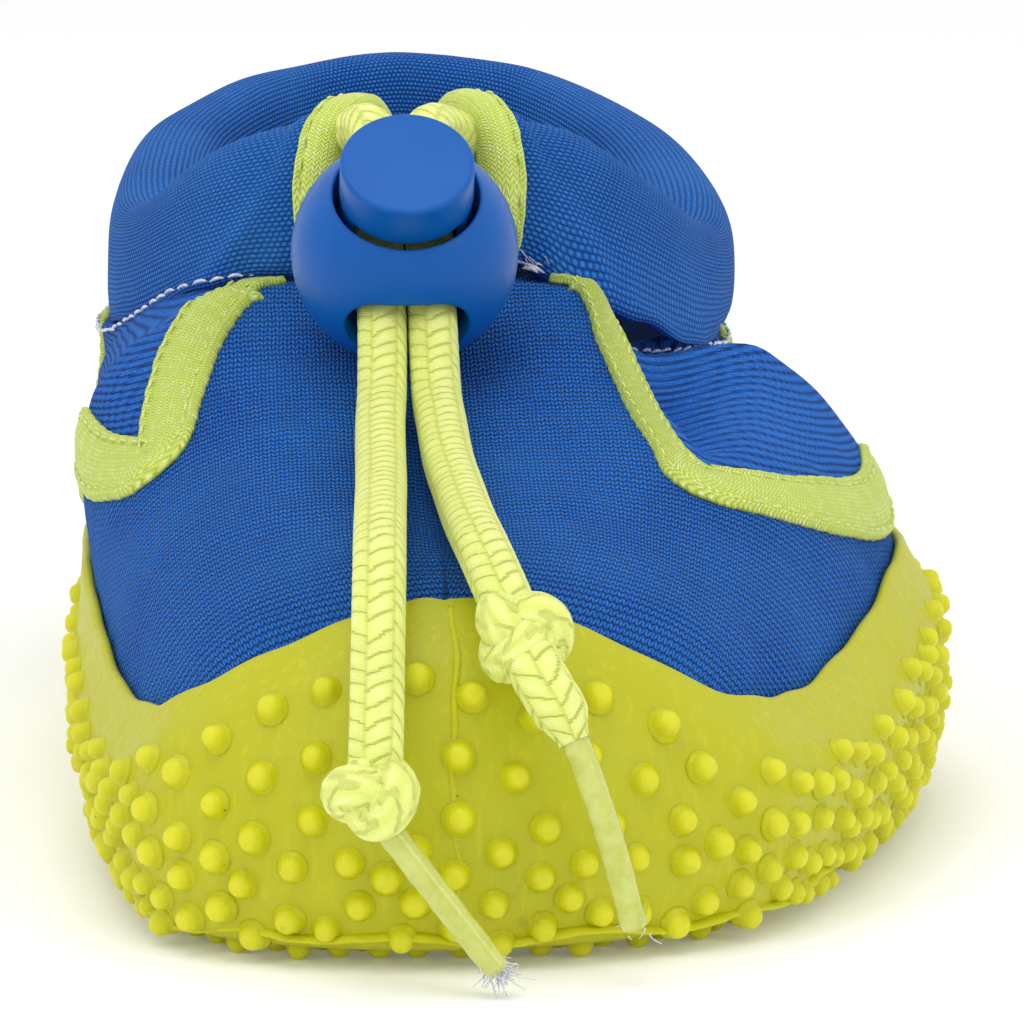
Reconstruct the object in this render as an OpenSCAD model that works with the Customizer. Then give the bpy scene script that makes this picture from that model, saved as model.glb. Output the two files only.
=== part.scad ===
// Child's left water shoe: nubbed rubber cup sole, knit neoprene upper, padded collar,
// and a drawcord that leaves the collar through a ball-shaped push-button cord lock.
// Millimetres. The toe points to -Y, the outer (lateral) side of the foot is +X, +Z is up.
// The origin lies on the ground under the middle of the sole.

/* [Sole] */
// Length of the outsole over its nubs
sole_l = 178; // [172:1:184]
// Width of the outsole over its nubs
sole_w = 75; // [72:0.5:78]
// Height of the nubs
nub_h = 1.2; // [0.8:0.1:1.6]
// Thickness of the rubber wall under the nubs
wall_t = 1.4; // [1.2:0.1:1.8]
// Thickness of the rubber at the rim
rim_t = 1.0; // [0.8:0.1:1.2]
// Thickness of the rubber floor with its nubs
floor_t = 5.5; // [5:0.5:6]

/* [Upper] */
// Thickness of the knit-faced neoprene
upper_t = 2.6; // [2:0.1:3]
// Thickness of the lasting board
board_t = 1.2; // [1:0.1:1.5]
// Thickness of the foam insole
insole_t = 3; // [2:0.5:3.5]
// Width of the trim tape
tape_w = 5.8; // [5:0.2:6.4]
// Thickness of the trim and binding tapes
tape_t = 0.8; // [0.6:0.1:1]
// Thickness of the collar's knit wall
collar_t = 1.8; // [1.5:0.1:2]

/* [Drawcord and lock] */
// Diameter of the drawcord
cord_d = 4.2; // [3.8:0.1:4.4]
// Diameter of the lock's ball
lock_d = 19; // [18.5:0.1:19.5]
// Diameter of the push button
button_d = 11.1; // [10.8:0.1:11.3]
// How far the button can be pressed
press_travel = 3; // [2.5:0.1:3]
// Diameter of an overhand knot
knot_d = 7.8; // [7:0.1:8]
// Diameter of the heat-shrunk tips
tip_d = 2.3; // [2:0.1:2.6]

/* [Hidden] */

rubber = "yellowgreen";
knit = "royalblue";
webbing = "greenyellow";
lock_blue = "steelblue";
foam = "dimgray";

// The rows below are for a sole of this length and width, and scale with sole_l and sole_w.
design_l = 178;
design_w = 75;
kx = sole_w / design_w;
ky = sole_l / design_l;
nub_wall = wall_t + nub_h;
gap = 0.12;            // clearance between faceted neighbours
base_z = floor_t + gap; // where the upper starts, on the cup's floor

function mm(p) = [p[0] * kx, p[1] * ky - sole_l / 2, p[2]];

// ---- stations around the shoe -------------------------------------------------------------
// Each row: upper's foot line x and distance back from the toe, rim height of the rubber,
// squareness of the wall's profile, steepest angle that the profile turns to, outward bulge,
// how much the rubber flares beyond the upper, how much it tucks in at the ground.
lateral_rows = [
    [-7.5, 2.6, 26, 2.5, 90, 0, 0, 3], [4.5, 5, 24.2, 2.5, 90, 0, 0, 3.2],
    [14.8, 12, 18.6, 2.5, 90, 0, 1, 4.5], [20.2, 22.3, 16.7, 2.6, 90, 0, 2.4, 6],
    [26, 37, 17.8, 2.8, 90, 0.3, 2.5, 6.5], [31.5, 53.5, 20.6, 2.8, 90, 0.5, 1.6, 6.5],
    [33.6, 69, 22, 2.8, 90, 1, 1.4, 6], [31.9, 88, 21, 2.45, 72, 0.8, 1, 5.5],
    [27.7, 108, 19, 2.1, 60, 0.4, 0.8, 5], [23.8, 129, 18.5, 2, 52, 1, 0.6, 4.5],
    [20.3, 150, 21, 2, 50, 1.2, 0.5, 4], [11.2, 169.6, 27, 2, 50, 1.2, 0.5, 3.5],
    [-4.8, 174.9, 30, 2, 50, 1.4, 0.5, 3]
];
medial_rows = [
    [-19.5, 4.8, 24.2, 2.5, 90, 0, 0.3, 3.2], [-27.4, 10.8, 19.6, 2.5, 90, 0.3, 1, 4],
    [-30.6, 21, 16.5, 2.6, 90, 0.8, 1.3, 4.5], [-32.8, 37, 17.2, 2.7, 90, 1.8, 1.1, 4.5],
    [-33.8, 54, 19.4, 2.9, 90, 2.9, 0.9, 4.5], [-33, 70, 21, 3.2, 90, 6.2, 0.8, 4.5],
    [-32.6, 88, 20.4, 2.5, 72, 6, 0.6, 4.5], [-30.8, 108, 18.8, 2.1, 60, 4.8, 0.5, 4.5],
    [-28.7, 129, 18.5, 2, 52, 2.8, 0.5, 4], [-27.5, 150, 21, 2, 50, 1.2, 0.5, 4],
    [-19.1, 169.6, 27, 2, 50, 1.2, 0.5, 3.5]
];
side_n = len(lateral_rows) - 1;
loop_n = 2 * side_n;
rows = concat(lateral_rows, [for (i = [len(medial_rows) - 1:-1:0]) medial_rows[i]]);

// Ridge of the forefoot, from the toe cap to the throat: distance back, height.
ridge_x = -7.6;
ridge_rows = [[25, 28.9], [29, 29.5], [35, 30.4], [43, 32], [53, 34.4], [66, 38.4], [79, 43.6]];
throat = len(ridge_rows) - 1;
// Seam between the upper and the collar, from the throat round the heel: x, distance back, height.
seam_rows = [
    [-7.6, 79, 43.6], [5.7, 83.5, 42.9], [17.8, 101, 36], [21.6, 119, 33.6], [18.6, 143, 35.6],
    [9, 163, 38.2], [-5.2, 169.5, 39.2], [-19.4, 163, 38.4], [-29.6, 143, 36.8], [-32.6, 119, 35.8],
    [-30.6, 101, 37.6], [-22, 84, 42.4], [-7.6, 79, 43.6]
];

function spline(a, b, c, d, t) =
    0.5 * (2 * b + (c - a) * t + (2 * a - 5 * b + 4 * c - d) * t * t + (3 * b - a - 3 * c + d) * t * t * t);
function wrap(i, n) = ((i % n) + n) % n;
function loop_row(p) = let (i = floor(p)) spline(
    rows[wrap(i - 1, loop_n)], rows[wrap(i, loop_n)], rows[wrap(i + 1, loop_n)],
    rows[wrap(i + 2, loop_n)], p - i
);
// A list of points as an open curve: the ends continue straight on.
function open_at(pts, i) =
    i < 0 ? 2 * pts[0] - pts[1]
    : i >= len(pts) ? 2 * pts[len(pts) - 1] - pts[len(pts) - 2]
    : pts[i];
function open_curve(pts, q) = let (i = min(floor(q), len(pts) - 2)) spline(
    open_at(pts, i - 1), open_at(pts, i), open_at(pts, i + 1), open_at(pts, i + 2), q - i
);
// How far a place round the shoe lies from the toe's centre, either way.
function from_toe(p) = min(wrap(p, loop_n), loop_n - wrap(p, loop_n));
function top_point(p) =
    let (q = from_toe(p))
    q <= throat
        ? let (
            back = open_curve(concat([ridge_rows[1]], ridge_rows), q + 1)
        ) mm([ridge_x, back[0], back[1]])
        : mm(open_curve(seam_rows, wrap(p, loop_n) - throat));
function foot_point(p) = let (r = loop_row(p)) mm([r[0], r[1], base_z]);

function unit(v) = v / norm(v);
// Outward direction, level with the ground, of a curve that runs anticlockwise.
function outward(a, b) = unit([b[1] - a[1], a[0] - b[0], 0]);
step = 0.02;
function foot_normal(p) = outward(foot_point(p - step), foot_point(p + step));
function seam_normal(p) = outward(top_point(p - step), top_point(p + step));

// ---- the surface of the upper ------------------------------------------------------------------
// Snaps a point to a fine grid, so that the shared edges of two panels meet exactly.
grid_step = 0.001;
grid_start = 0.17; // in steps, which keeps round numbers away from the halfway points
function snapped(v) = [for (c = v) round(c / grid_step + grid_start) * grid_step];
// p runs round the shoe, s from 0 at the sole to 1 at the top, off is the distance outwards.
function skin(p, s, off) =
    let (
        r = loop_row(p),
        e = 2 / r[3],
        steepest = min(90, r[4]),
        turn = steepest * min(max(s, 0), 1),
        foot = foot_point(p),
        top = top_point(p),
        across = (1 - pow(cos(turn), e)) / (1 - pow(cos(steepest), e)),
        up = pow(sin(turn), e) / pow(sin(steepest), e),
        reach = norm([top[0] - foot[0], top[1] - foot[1]]),
        lean = turn > 89.99 ? 90 : atan(reach / (top[2] - base_z) * pow(tan(turn), 2 - e)),
        out = foot_normal(p)
    )
    snapped([
        foot[0] + (top[0] - foot[0]) * across, foot[1] + (top[1] - foot[1]) * across,
        base_z + (top[2] - base_z) * up
    ] + out * (r[5] * sin(2 * turn) + off * cos(lean)) + [0, 0, off * sin(lean)]);
// The s at which the surface reaches a height.
function s_at(p, z) =
    let (r = loop_row(p), e = 2 / r[3], top = top_point(p), steepest = min(90, r[4]))
    asin(min(1, pow(max(0, (z - base_z) / (top[2] - base_z)), 1 / e) * sin(steepest))) / steepest;

// ---- meshes ------------------------------------------------------------------------------------
// Two triangles for each cell of a grid of points held one column after another.
function cells(first, cols, per_col, flip) = [
    for (i = [0:cols - 2], k = [0:per_col - 2])
        let (
            a = first + i * per_col + k, b = a + per_col, c = b + 1, d = a + 1
        )
        each flip ? [[a, b, c], [a, c, d]] : [[a, c, b], [a, d, c]]
];
// Triangles that join an edge of the outer grid to the same edge of the inner one.
function wall(outer, inner, flip) = [
    for (i = [0:len(outer) - 2])
        let (a = outer[i], b = outer[i + 1], c = inner[i + 1], d = inner[i])
        each flip ? [[a, c, b], [a, d, c]] : [[a, b, c], [a, c, d]]
];
function shifted(faces, by) = [for (f = faces) [for (v = f) v + by]];

// A piece of the upper between two lines s0(p) and s1(p), as points and faces. It has a column
// at each of the places ps, and walls says which edges are closed: start, end, lower, upper.
function panel(ps, s0, s1, ks, walls) =
    let (
        n = len(ps),
        cols = n - 1,
        m = ks + 1,
        grid = function(off) [
            for (p = ps, k = [0:ks]) skin(p, s0(p) + (s1(p) - s0(p)) * k / ks, off)
        ],
        at = function(i, k) i * m + k,
        second = n * m
    )
    [
        concat(grid(0), grid(-upper_t)),
        concat(
            cells(0, n, m, false), cells(second, n, m, true),
            walls[0] ? wall([for (k = [0:ks]) at(0, k)], [for (k = [0:ks]) second + at(0, k)], true) : [],
            walls[1] ? wall([for (k = [0:ks]) at(cols, k)], [for (k = [0:ks]) second + at(cols, k)], false)
                : [],
            walls[2] ? wall([for (i = [0:cols]) at(i, 0)], [for (i = [0:cols]) second + at(i, 0)], false)
                : [],
            walls[3] ? wall([for (i = [0:cols]) at(i, ks)], [for (i = [0:cols]) second + at(i, ks)], true)
                : []
        )
    ];
// Several panels as one closed solid: their shared edges are left open and meet point by point.
function joined(parts, i = 0, pts = [], faces = []) =
    i == len(parts) ? [pts, faces]
    : joined(parts, i + 1, concat(pts, parts[i][0]), concat(faces, shifted(parts[i][1], len(pts))));
module solid(mesh) {
    polyhedron(points = mesh[0], faces = mesh[1]);
}

// ---- the seam lines between the panels ---------------------------------------------------------
// The trim tape's zigzag on each side, as distance round from the toe and s: down the forefoot,
// back along the sole, and up to the collar.
lateral_front = [[3.95, 0.66], [4.45, 0.76], [5.3, 0.825], [6.1, 0.87], [6.9, 1]];
lateral_low = [
    [3.95, 0.66], [4.15, 0.55], [4.7, 0.41], [5.6, 0.3], [6.7, 0.325], [7.3, 0.385], [7.8, 0.455]
];
medial_front = [[4.8, 0.53], [5.15, 0.615], [5.65, 0.72], [6.25, 0.85], [6.9, 1]];
medial_low = [[4.8, 0.53], [5.15, 0.43], [5.65, 0.36], [6.6, 0.33], [7.3, 0.39], [7.8, 0.455]];
tape_rear = [[7.8, 0.455], [8.6, 0.72], [9.3, 1]];
lateral_corner = lateral_low[0][0];
medial_corner = medial_low[0][0];
front_end = 6.9;
corner_rear = tape_rear[0][0];
rear_end = tape_rear[len(tape_rear) - 1][0];

// The places where the panels have their columns, with how many lie between each two.
breaks = [0, lateral_corner, medial_corner, throat, front_end, corner_rear, rear_end, side_n];
break_cols = [12, 3, 5, 4, 4, 6, 11];
side_places = concat(
    [
        for (i = [0:len(break_cols) - 1], k = [0:break_cols[i] - 1])
            breaks[i] + (breaks[i + 1] - breaks[i]) * k / break_cols[i]
    ],
    [side_n]
);
function between(a, b) = [for (q = side_places) if (q >= a - 0.001 && q <= b + 0.001) q];
// p for distances from the toe on the lateral (+1) or medial (-1) side, in the order of p.
function on_side(sign, q) = sign > 0 ? q : loop_n - q;
function places(sign, a, b) =
    let (qs = between(a, b), n = len(qs))
    [for (i = [0:n - 1]) on_side(sign, sign > 0 ? qs[i] : qs[n - 1 - i])];

// s on a line of places, by its distance from the toe.
function line_s(line, q, i = 0) =
    i >= len(line) - 2 || q <= line[i + 1][0]
        ? line[i][1] + (line[i + 1][1] - line[i][1]) * (q - line[i][0]) / (line[i + 1][0] - line[i][0])
        : line_s(line, q, i + 1);
function is_lateral(p) = wrap(p, loop_n) <= side_n;
function front_s(p) = line_s(is_lateral(p) ? lateral_front : medial_front, from_toe(p));
toe_s = 0.6; // s of the dividing line in the middle of the toe
function low_s(p) =
    let (q = from_toe(p), line = is_lateral(p) ? lateral_low : medial_low, corner = line[0])
    q <= corner[0] ? toe_s + (corner[1] - toe_s) * q / corner[0]
    : q <= corner_rear ? line_s(line, q)
    : min(1, line_s(tape_rear, q));

// ---- sub-parts ------------------------------------------------------------------------------------
loop_cols = 96;
rim_drop_smooth = 3.5; // the band under the rim that has no nubs
rim_drop_nubs = 6;

function rubber_off(depth) =
    depth <= 0 ? rim_t
    : depth < rim_drop_smooth ? rim_t + (wall_t - rim_t) * depth / rim_drop_smooth
    : depth < rim_drop_nubs ? wall_t + nub_h * (depth - rim_drop_smooth) / (rim_drop_nubs - rim_drop_smooth)
    : nub_wall;

// The wall is widest at this height and rounds in below it.
belly_z = 12;
function tuck_in(z) = z >= belly_z ? 0 : 1 - sqrt(max(0, 1 - pow((belly_z - z) / belly_z, 2)));
// Outer face of the rubber, as distance outwards from the upper.
function sole_off(r, z) =
    let (depth = r[2] - z, spread = min(1, max(0, depth) / rim_drop_nubs))
    rubber_off(depth) + r[6] * spread * spread * (3 - 2 * spread) - r[7] * tuck_in(z);

tread_heights = [0, 0.5, 1.5, 3.2];
wall_shares = [0, 0.25, 0.48, 0.68, 0.85, 1];
inner_shares = [1, 0.85, 0.68, 0.5, 0.33, 0.16, 0];
cup_gap = 0.2; // clearance between the cup and the upper

function sole_column(p) =
    let (
        foot = foot_point(p), out = foot_normal(p), r = loop_row(p),
        heights = [for (w = wall_shares) base_z + (r[2] - base_z) * w],
        inside = [for (w = inner_shares) base_z + (r[2] - base_z) * w]
    )
    concat(
        [for (z = tread_heights) [foot[0], foot[1], z] + out * sole_off(r, z)],
        [for (z = heights) skin(p, s_at(p, z), sole_off(r, z))],
        [for (z = inside) skin(p, s_at(p, z), cup_gap)],
        [[foot[0], foot[1], floor_t] + out * gap]
    );
sole_rows = len(tread_heights) + len(wall_shares) + len(inner_shares) + 1;

module outsole() {
    pts = [for (i = [0:loop_cols - 1]) each sole_column(i * loop_n / loop_cols)];
    at = function(i, k) wrap(i, loop_cols) * sole_rows + k;
    last = sole_rows - 1;
    half = loop_cols / 2;
    color(rubber)
        polyhedron(
            points = pts,
            faces = concat(
                [
                    for (i = [0:loop_cols - 1], k = [0:last - 1])
                        each [
                            [at(i, k), at(i + 1, k + 1), at(i + 1, k)],
                            [at(i, k), at(i, k + 1), at(i + 1, k + 1)]
                        ]
                ],
                [
                    for (i = [0:half - 1])
                        each [
                            [at(i, 0), at(i + 1, 0), at(-i - 1, 0)], [at(i, 0), at(-i - 1, 0), at(-i, 0)],
                            [at(i, last), at(-i - 1, last), at(i + 1, last)],
                            [at(i, last), at(-i, last), at(-i - 1, last)]
                        ]
                ]
            )
        );
}

// Outline of the shoe's inside at the sole, drawn in by inset.
module inside_outline(inset) {
    polygon([
        for (i = [0:loop_cols - 1])
            let (p = i * loop_n / loop_cols, q = foot_point(p) - foot_normal(p) * inset)
            [q[0], q[1]]
    ]);
}

module lasting_board() {
    color(foam)
        translate([0, 0, base_z])
            linear_extrude(board_t)
                inside_outline(upper_t + gap);
}

insole_z = base_z + board_t + gap;
insole_inset = upper_t + 0.9;
module insole() {
    color("darkslategray")
        translate([0, 0, insole_z])
            linear_extrude(insole_t)
                inside_outline(insole_inset);
}

low_ks = 7;
high_ks = 5;
all_s = function(p) 1;
no_s = function(p) 0;
low_line = function(p) low_s(p);
front_line = function(p) front_s(p);

// A panel between two distances from the toe, on either side. near, far, lower and upper say
// which edges are closed.
function side_panel(sign, from, to, s0, s1, ks, near, far, lower, upper) =
    panel(places(sign, from, to), s0, s1, ks, [sign > 0 ? near : far, sign > 0 ? far : near, lower, upper]);

module vamp() {
    // Beside the ridge, under the collar's front, and along the sole.
    wings = [
        for (sign = [1, -1])
            let (corner = sign > 0 ? lateral_corner : medial_corner)
            each [
                side_panel(sign, 0, corner, no_s, low_line, low_ks, false, false, true, false),
                side_panel(sign, 0, corner, low_line, all_s, high_ks, false, false, false, false),
                side_panel(sign, corner, throat, front_line, all_s, high_ks, false, false, true, false),
                side_panel(sign, throat, front_end, front_line, all_s, high_ks, false, false, true, true),
                side_panel(sign, corner, corner_rear, no_s, low_line, low_ks, false, true, true, true)
            ]
    ];
    color(knit) solid(joined(wings));
}

// The side panel inside the tape's zigzag, up to the collar seam.
module quarter(sign) {
    corner = sign > 0 ? lateral_corner : medial_corner;
    color(knit)
        solid(joined([
            side_panel(sign, corner, front_end, low_line, front_line, high_ks, false, false, true, true),
            side_panel(sign, front_end, rear_end, low_line, all_s, high_ks, false, false, true, true)
        ]));
}
module quarter_lateral() quarter(1);
module quarter_medial() quarter(-1);

module heel_panel() {
    color(knit)
        solid(joined([
            side_panel(1, corner_rear, side_n, no_s, low_line, 7, true, false, true, true),
            side_panel(-1, corner_rear, side_n, no_s, low_line, 7, true, false, true, true)
        ]));
}

// ---- tape laid on the upper --------------------------------------------------------------------
// The tape's middle line, as distance from the toe and s.
function tape_route(sign) =
    let (front = sign > 0 ? lateral_front : medial_front, low = sign > 0 ? lateral_low : medial_low)
    concat(
        [for (i = [len(front) - 1:-1:0]) front[i]],
        [for (i = [1:len(low) - 1]) low[i]],
        [for (i = [1:len(tape_rear) - 1]) tape_rear[i]]
    );
tape_end_s = 0.905; // the tape stops short of the collar
function tape_place(sign, route, q) =
    let (c = open_curve(route, q))
    [on_side(sign, c[0]), min(c[1], tape_end_s)];
// Moves a place on the surface by a vector, to first order.
function slid(place, v) =
    let (
        d = 0.01,
        a = (skin(place[0] + d, place[1], 0) - skin(place[0] - d, place[1], 0)) / (2 * d),
        b = (skin(place[0], place[1] + d, 0) - skin(place[0], place[1] - d, 0)) / (2 * d),
        det = (a * a) * (b * b) - (a * b) * (a * b)
    )
    place + [(v * a) * (b * b) - (v * b) * (a * b), (v * b) * (a * a) - (v * a) * (a * b)] / det;
function normal_at(place) =
    let (
        d = 0.01,
        a = skin(place[0] + d, place[1], 0) - skin(place[0] - d, place[1], 0),
        b = skin(place[0], place[1] + d, 0) - skin(place[0], place[1] - d, 0)
    )
    unit(cross(a, b));

lateral_slim = 0.68; // the lateral tape's front branch is drawn narrower, up to this place
slim_to = 3;
module trim_tape(sign) {
    cols = 54;
    across = [-0.5, -0.17, 0.17, 0.5];
    slim = sign > 0 ? lateral_slim : 1;
    count = len(across);
    route = tape_route(sign);
    last = len(route) - 1;
    spots = [
        for (i = [0:cols])
            let (
                q = last * i / cols,
                c = tape_place(sign, route, q),
                a = tape_place(sign, route, max(0, q - 0.05)),
                b = tape_place(sign, route, min(last, q + 0.05)),
                along = unit(skin(b[0], b[1], 0) - skin(a[0], a[1], 0)),
                side = cross(normal_at(c), along),
                wide = tape_w * (slim + (1 - slim) * min(1, max(0, q - slim_to)))
            )
            each [for (w = across) let (m = slid(c, side * wide * w)) [m[0], min(m[1], 1)]]
    ];
    layer = function(off) [for (m = spots) skin(m[0], m[1], off)];
    n = cols + 1;
    second = n * count;
    flip = sign < 0;
    near = [for (k = [0:count - 1]) k];
    far = [for (k = [0:count - 1]) cols * count + k];
    left = [for (i = [0:cols]) i * count];
    right = [for (i = [0:cols]) i * count + count - 1];
    lift = function(ids) [for (v = ids) v + second];
    color(webbing)
        polyhedron(
            points = concat(layer(gap + tape_t), layer(gap)),
            faces = concat(
                cells(0, n, count, flip), cells(second, n, count, !flip),
                wall(near, lift(near), !flip), wall(far, lift(far), flip),
                wall(left, lift(left), flip), wall(right, lift(right), !flip)
            )
        );
}
module trim_tape_lateral() trim_tape(1);
module trim_tape_medial() trim_tape(-1);

// ---- collar ------------------------------------------------------------------------------------
// Round the collar from the throat by the side to the heel: height, width, offset outwards.
collar_rows = [
    [15.4, 8.4, -1], [14.2, 9, -1.2], [13, 10.4, -2], [14.6, 11, -2.4], [16.6, 10.6, -2.2],
    [17.6, 9.6, -2], [18, 9.2, -2]
];
collar_first = throat + 0.16;
collar_bevel = 0.3; // how much further round the outer face starts
collar_square = 2.6;
function collar_row(p) = open_curve(collar_rows, min(from_toe(p) - throat, len(collar_rows) - 1));
function signed_pow(v, e) = sign(v) * pow(abs(v), e);
// A point on the collar: p round the shoe, turn round its section, inset from its outer face.
function collar_point(p, turn, inset) =
    let (
        r = collar_row(p), base = top_point(p), out = seam_normal(p), e = 2 / collar_square,
        half_w = r[1] / 2 - inset, half_h = r[0] / 2 - inset
    )
    base + out * (r[2] + half_w * signed_pow(cos(turn), e))
        + [0, 0, gap + r[0] / 2 + half_h * signed_pow(sin(turn), e)];
// Place round the shoe for a share of the collar, whose ends are cut on a bevel.
function collar_p(share, turn) =
    let (
        bevel = collar_bevel * (1 + cos(turn)) / 2 * pow(abs(2 * share - 1), 6),
        q = collar_first + (side_n - collar_first) * 2 * min(share, 1 - share) + bevel
    )
    share <= 0.5 ? q : loop_n - q;

// A tube along the collar, between two insets from its outer face.
module collar_sleeve(share0, share1, cols, outer, inner, turn0, turn1, turns) {
    closed = turn1 - turn0 >= 360;
    per = closed ? turns : turns + 1;
    grid = function(inset) [
        for (i = [0:cols], k = [0:per - 1])
            let (
                share = share0 + (share1 - share0) * i / cols,
                turn = turn0 + (turn1 - turn0) * k / turns
            )
            collar_point(collar_p(share, turn), turn, inset)
    ];
    n = cols + 1;
    second = n * per;
    at = function(i, k) i * per + k;
    ids = function(i) closed ? [for (k = [0:per]) at(i, k % per)] : [for (k = [0:per - 1]) at(i, k)];
    lift = function(list) [for (v = list) v + second];
    seam = closed ? [] : concat(
        wall([for (i = [0:cols]) at(i, 0)], [for (i = [0:cols]) second + at(i, 0)], false),
        wall([for (i = [0:cols]) at(i, per - 1)], [for (i = [0:cols]) second + at(i, per - 1)], true)
    );
    skins = [
        for (i = [0:cols - 1], k = [0:(closed ? per - 1 : per - 2)])
            let (a = at(i, k), b = at(i + 1, k), c = at(i + 1, (k + 1) % per), d = at(i, (k + 1) % per))
            each [
                [a, c, b], [a, d, c],
                [second + a, second + b, second + c], [second + a, second + c, second + d]
            ]
    ];
    polyhedron(
        points = concat(grid(outer), grid(inner)),
        faces = concat(skins, wall(ids(0), lift(ids(0)), true), wall(ids(cols), lift(ids(cols)), false), seam)
    );
}

module collar() {
    color(knit) collar_sleeve(0, 1, 52, 0, collar_t, 0, 360, 16);
}

binding_share = 0.027; // share of the collar's length that the binding covers
module collar_binding(share0, share1) {
    color(webbing) collar_sleeve(share0, share1, 4, -gap - tape_t, -gap, -55, 235, 14);
}
module collar_binding_lateral() collar_binding(0, binding_share);
module collar_binding_medial() collar_binding(1 - binding_share, 1);

// ---- tubes -------------------------------------------------------------------------------------
function route_point(route, q) = open_curve(route, q);
// A round tube along a smooth route, with square ends.
module tube(route, dia, rings, sides) {
    last = len(route) - 1;
    pts = [
        for (i = [0:rings])
            let (
                q = last * i / rings,
                c = route_point(route, q),
                t = unit(route_point(route, min(last, q + 0.05)) - route_point(route, max(0, q - 0.05))),
                a = unit(cross(t, abs(t[0]) > 0.85 ? [0, 0, 1] : [1, 0, 0])),
                b = cross(t, a)
            )
            each [for (k = [0:sides - 1]) c + (a * cos(360 * k / sides) + b * sin(360 * k / sides)) * dia / 2]
    ];
    polyhedron(
        points = pts,
        faces = concat(
            [
                for (i = [0:rings - 1], k = [0:sides - 1])
                    let (
                        a = i * sides + k, b = i * sides + (k + 1) % sides, c = b + sides, d = a + sides
                    )
                    each [[a, c, b], [a, d, c]]
            ],
            [[for (k = [0:sides - 1]) k]],
            [[for (k = [sides - 1:-1:0]) rings * sides + k]]
        )
    );
}

thread_d = 0.6;
thread_first = throat + 1.25;
thread_s = 0.965;
over_reach = 0.7; // how far to each side of the tape's end the thread rises over it
module collar_seam_thread() {
    route = [
        for (i = [0:40])
            let (
                p = thread_first + (loop_n - 2 * thread_first) * i / 40,
                over_tape = max(0, 1 - pow((from_toe(p) - rear_end) / over_reach, 2))
            )
            skin(p, thread_s, thread_d / 2 + 0.2 + (tape_t + gap) * over_tape)
    ];
    color("white") tube(route, thread_d, 80, 5);
}

bartack_size = [4, 1.2, 0.45];
bartack_after = 0.21; // place round the shoe past the throat, and height on the forefoot
bartack_s = 0.935;
bartack_turn = [12, 0, 18]; // lies along the seam, on the slope of the forefoot
module throat_bartack() {
    c = skin(throat + bartack_after, bartack_s, bartack_size[2] / 2 + 0.3);
    color("white") translate(c) rotate(bartack_turn) cube(bartack_size, center = true);
}

// ---- cord lock -----------------------------------------------------------------------------------
lock_at = mm([-9.1, 62.5, 47.5]);
lock_tilt = 42;            // lean of the button's axis towards the toe
cord_gap = cord_d;         // distance between the two cords' middles in the lock
bore_d = button_d + 1;
bore_floor = -6.65;
pocket_d = 7.2;            // pocket for the spring under the bore
pocket_floor = -8.3;
hole_w = 2 * cord_d + 1.2;
hole_h = cord_d + 0.9;
cap_h = 4;
bridge_h = 1.2;
bridge_top = -cord_d / 2 - 0.1;
window_w = 2 * cord_d + 0.3;
bore_mouth = 7.2;
cap_under = bore_mouth - 0.15; // the cap stands proud, and the cords show in the gap under it
cap_top = cap_under + cap_h;

module at_lock() {
    translate(lock_at) rotate([lock_tilt, 0, 0]) children();
}
module cord_slot(w, h, length) {
    rotate([90, 0, 0]) {
        for (side = [-1, 1])
            translate([side * (w - h) / 2, 0, 0]) cylinder(h = length, d = h, center = true, $fn = 48);
        cube([w - h, h, length], center = true);
    }
}
module lock_barrel() {
    color(lock_blue)
        at_lock()
            difference() {
                sphere(d = lock_d, $fn = 96);
                translate([0, 0, bore_floor]) cylinder(h = lock_d, d = bore_d, $fn = 64);
                translate([0, 0, pocket_floor]) cylinder(h = lock_d, d = pocket_d, $fn = 64);
                translate([0, 0, bore_mouth]) cylinder(h = lock_d, d = lock_d, $fn = 64);
                cord_slot(hole_w, hole_h, 2 * lock_d);
            }
}
module lock_plunger() {
    color(lock_blue)
        at_lock()
            difference() {
                translate([0, 0, bridge_top - bridge_h])
                    cylinder(h = cap_top - bridge_top + bridge_h, d = button_d, $fn = 64);
                translate([0, 0, (cap_under + bridge_top) / 2])
                    cube([window_w, lock_d, cap_under - bridge_top], center = true);
            }
}
spring_turns = 3;
spring_d = 6;
spring_wire = 0.5;
module lock_spring() {
    low = pocket_floor + spring_wire / 2 + 0.05;
    high = bridge_top - bridge_h - spring_wire / 2 - 0.05;
    steps = 16 * spring_turns;
    route = [
        for (i = [0:steps])
            let (a = 360 * spring_turns * i / steps)
            [spring_d / 2 * cos(a), spring_d / 2 * sin(a), low + (high - low) * i / steps]
    ];
    color("silver") at_lock() tube(route, spring_wire, steps, 6);
}

// ---- drawcord ------------------------------------------------------------------------------------
hole_dir = [0, cos(lock_tilt), sin(lock_tilt)];
function lock_line(side, reach) = lock_at + [side * cord_gap / 2, 0, 0] + hole_dir * reach;
// From the lock up to the collar's mouth: x, distance back, height.
lead_lateral = [[-6.6, 74.2, 56.7], [-5.5, 77.2, 56.5], [-3, 80.2, 55.4]];
lead_medial = [[-11.6, 74.2, 56.7], [-12.3, 77.2, 56.5], [-13.8, 80.2, 55.4]];
// The channel runs in the collar, a little above its middle.
channel_rise = 0.22;
function channel(p) =
    let (r = collar_row(p))
    top_point(p) + seam_normal(p) * r[2] + [0, 0, gap + r[0] * (0.5 + channel_rise)];
channel_first = throat + 0.75;

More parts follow.
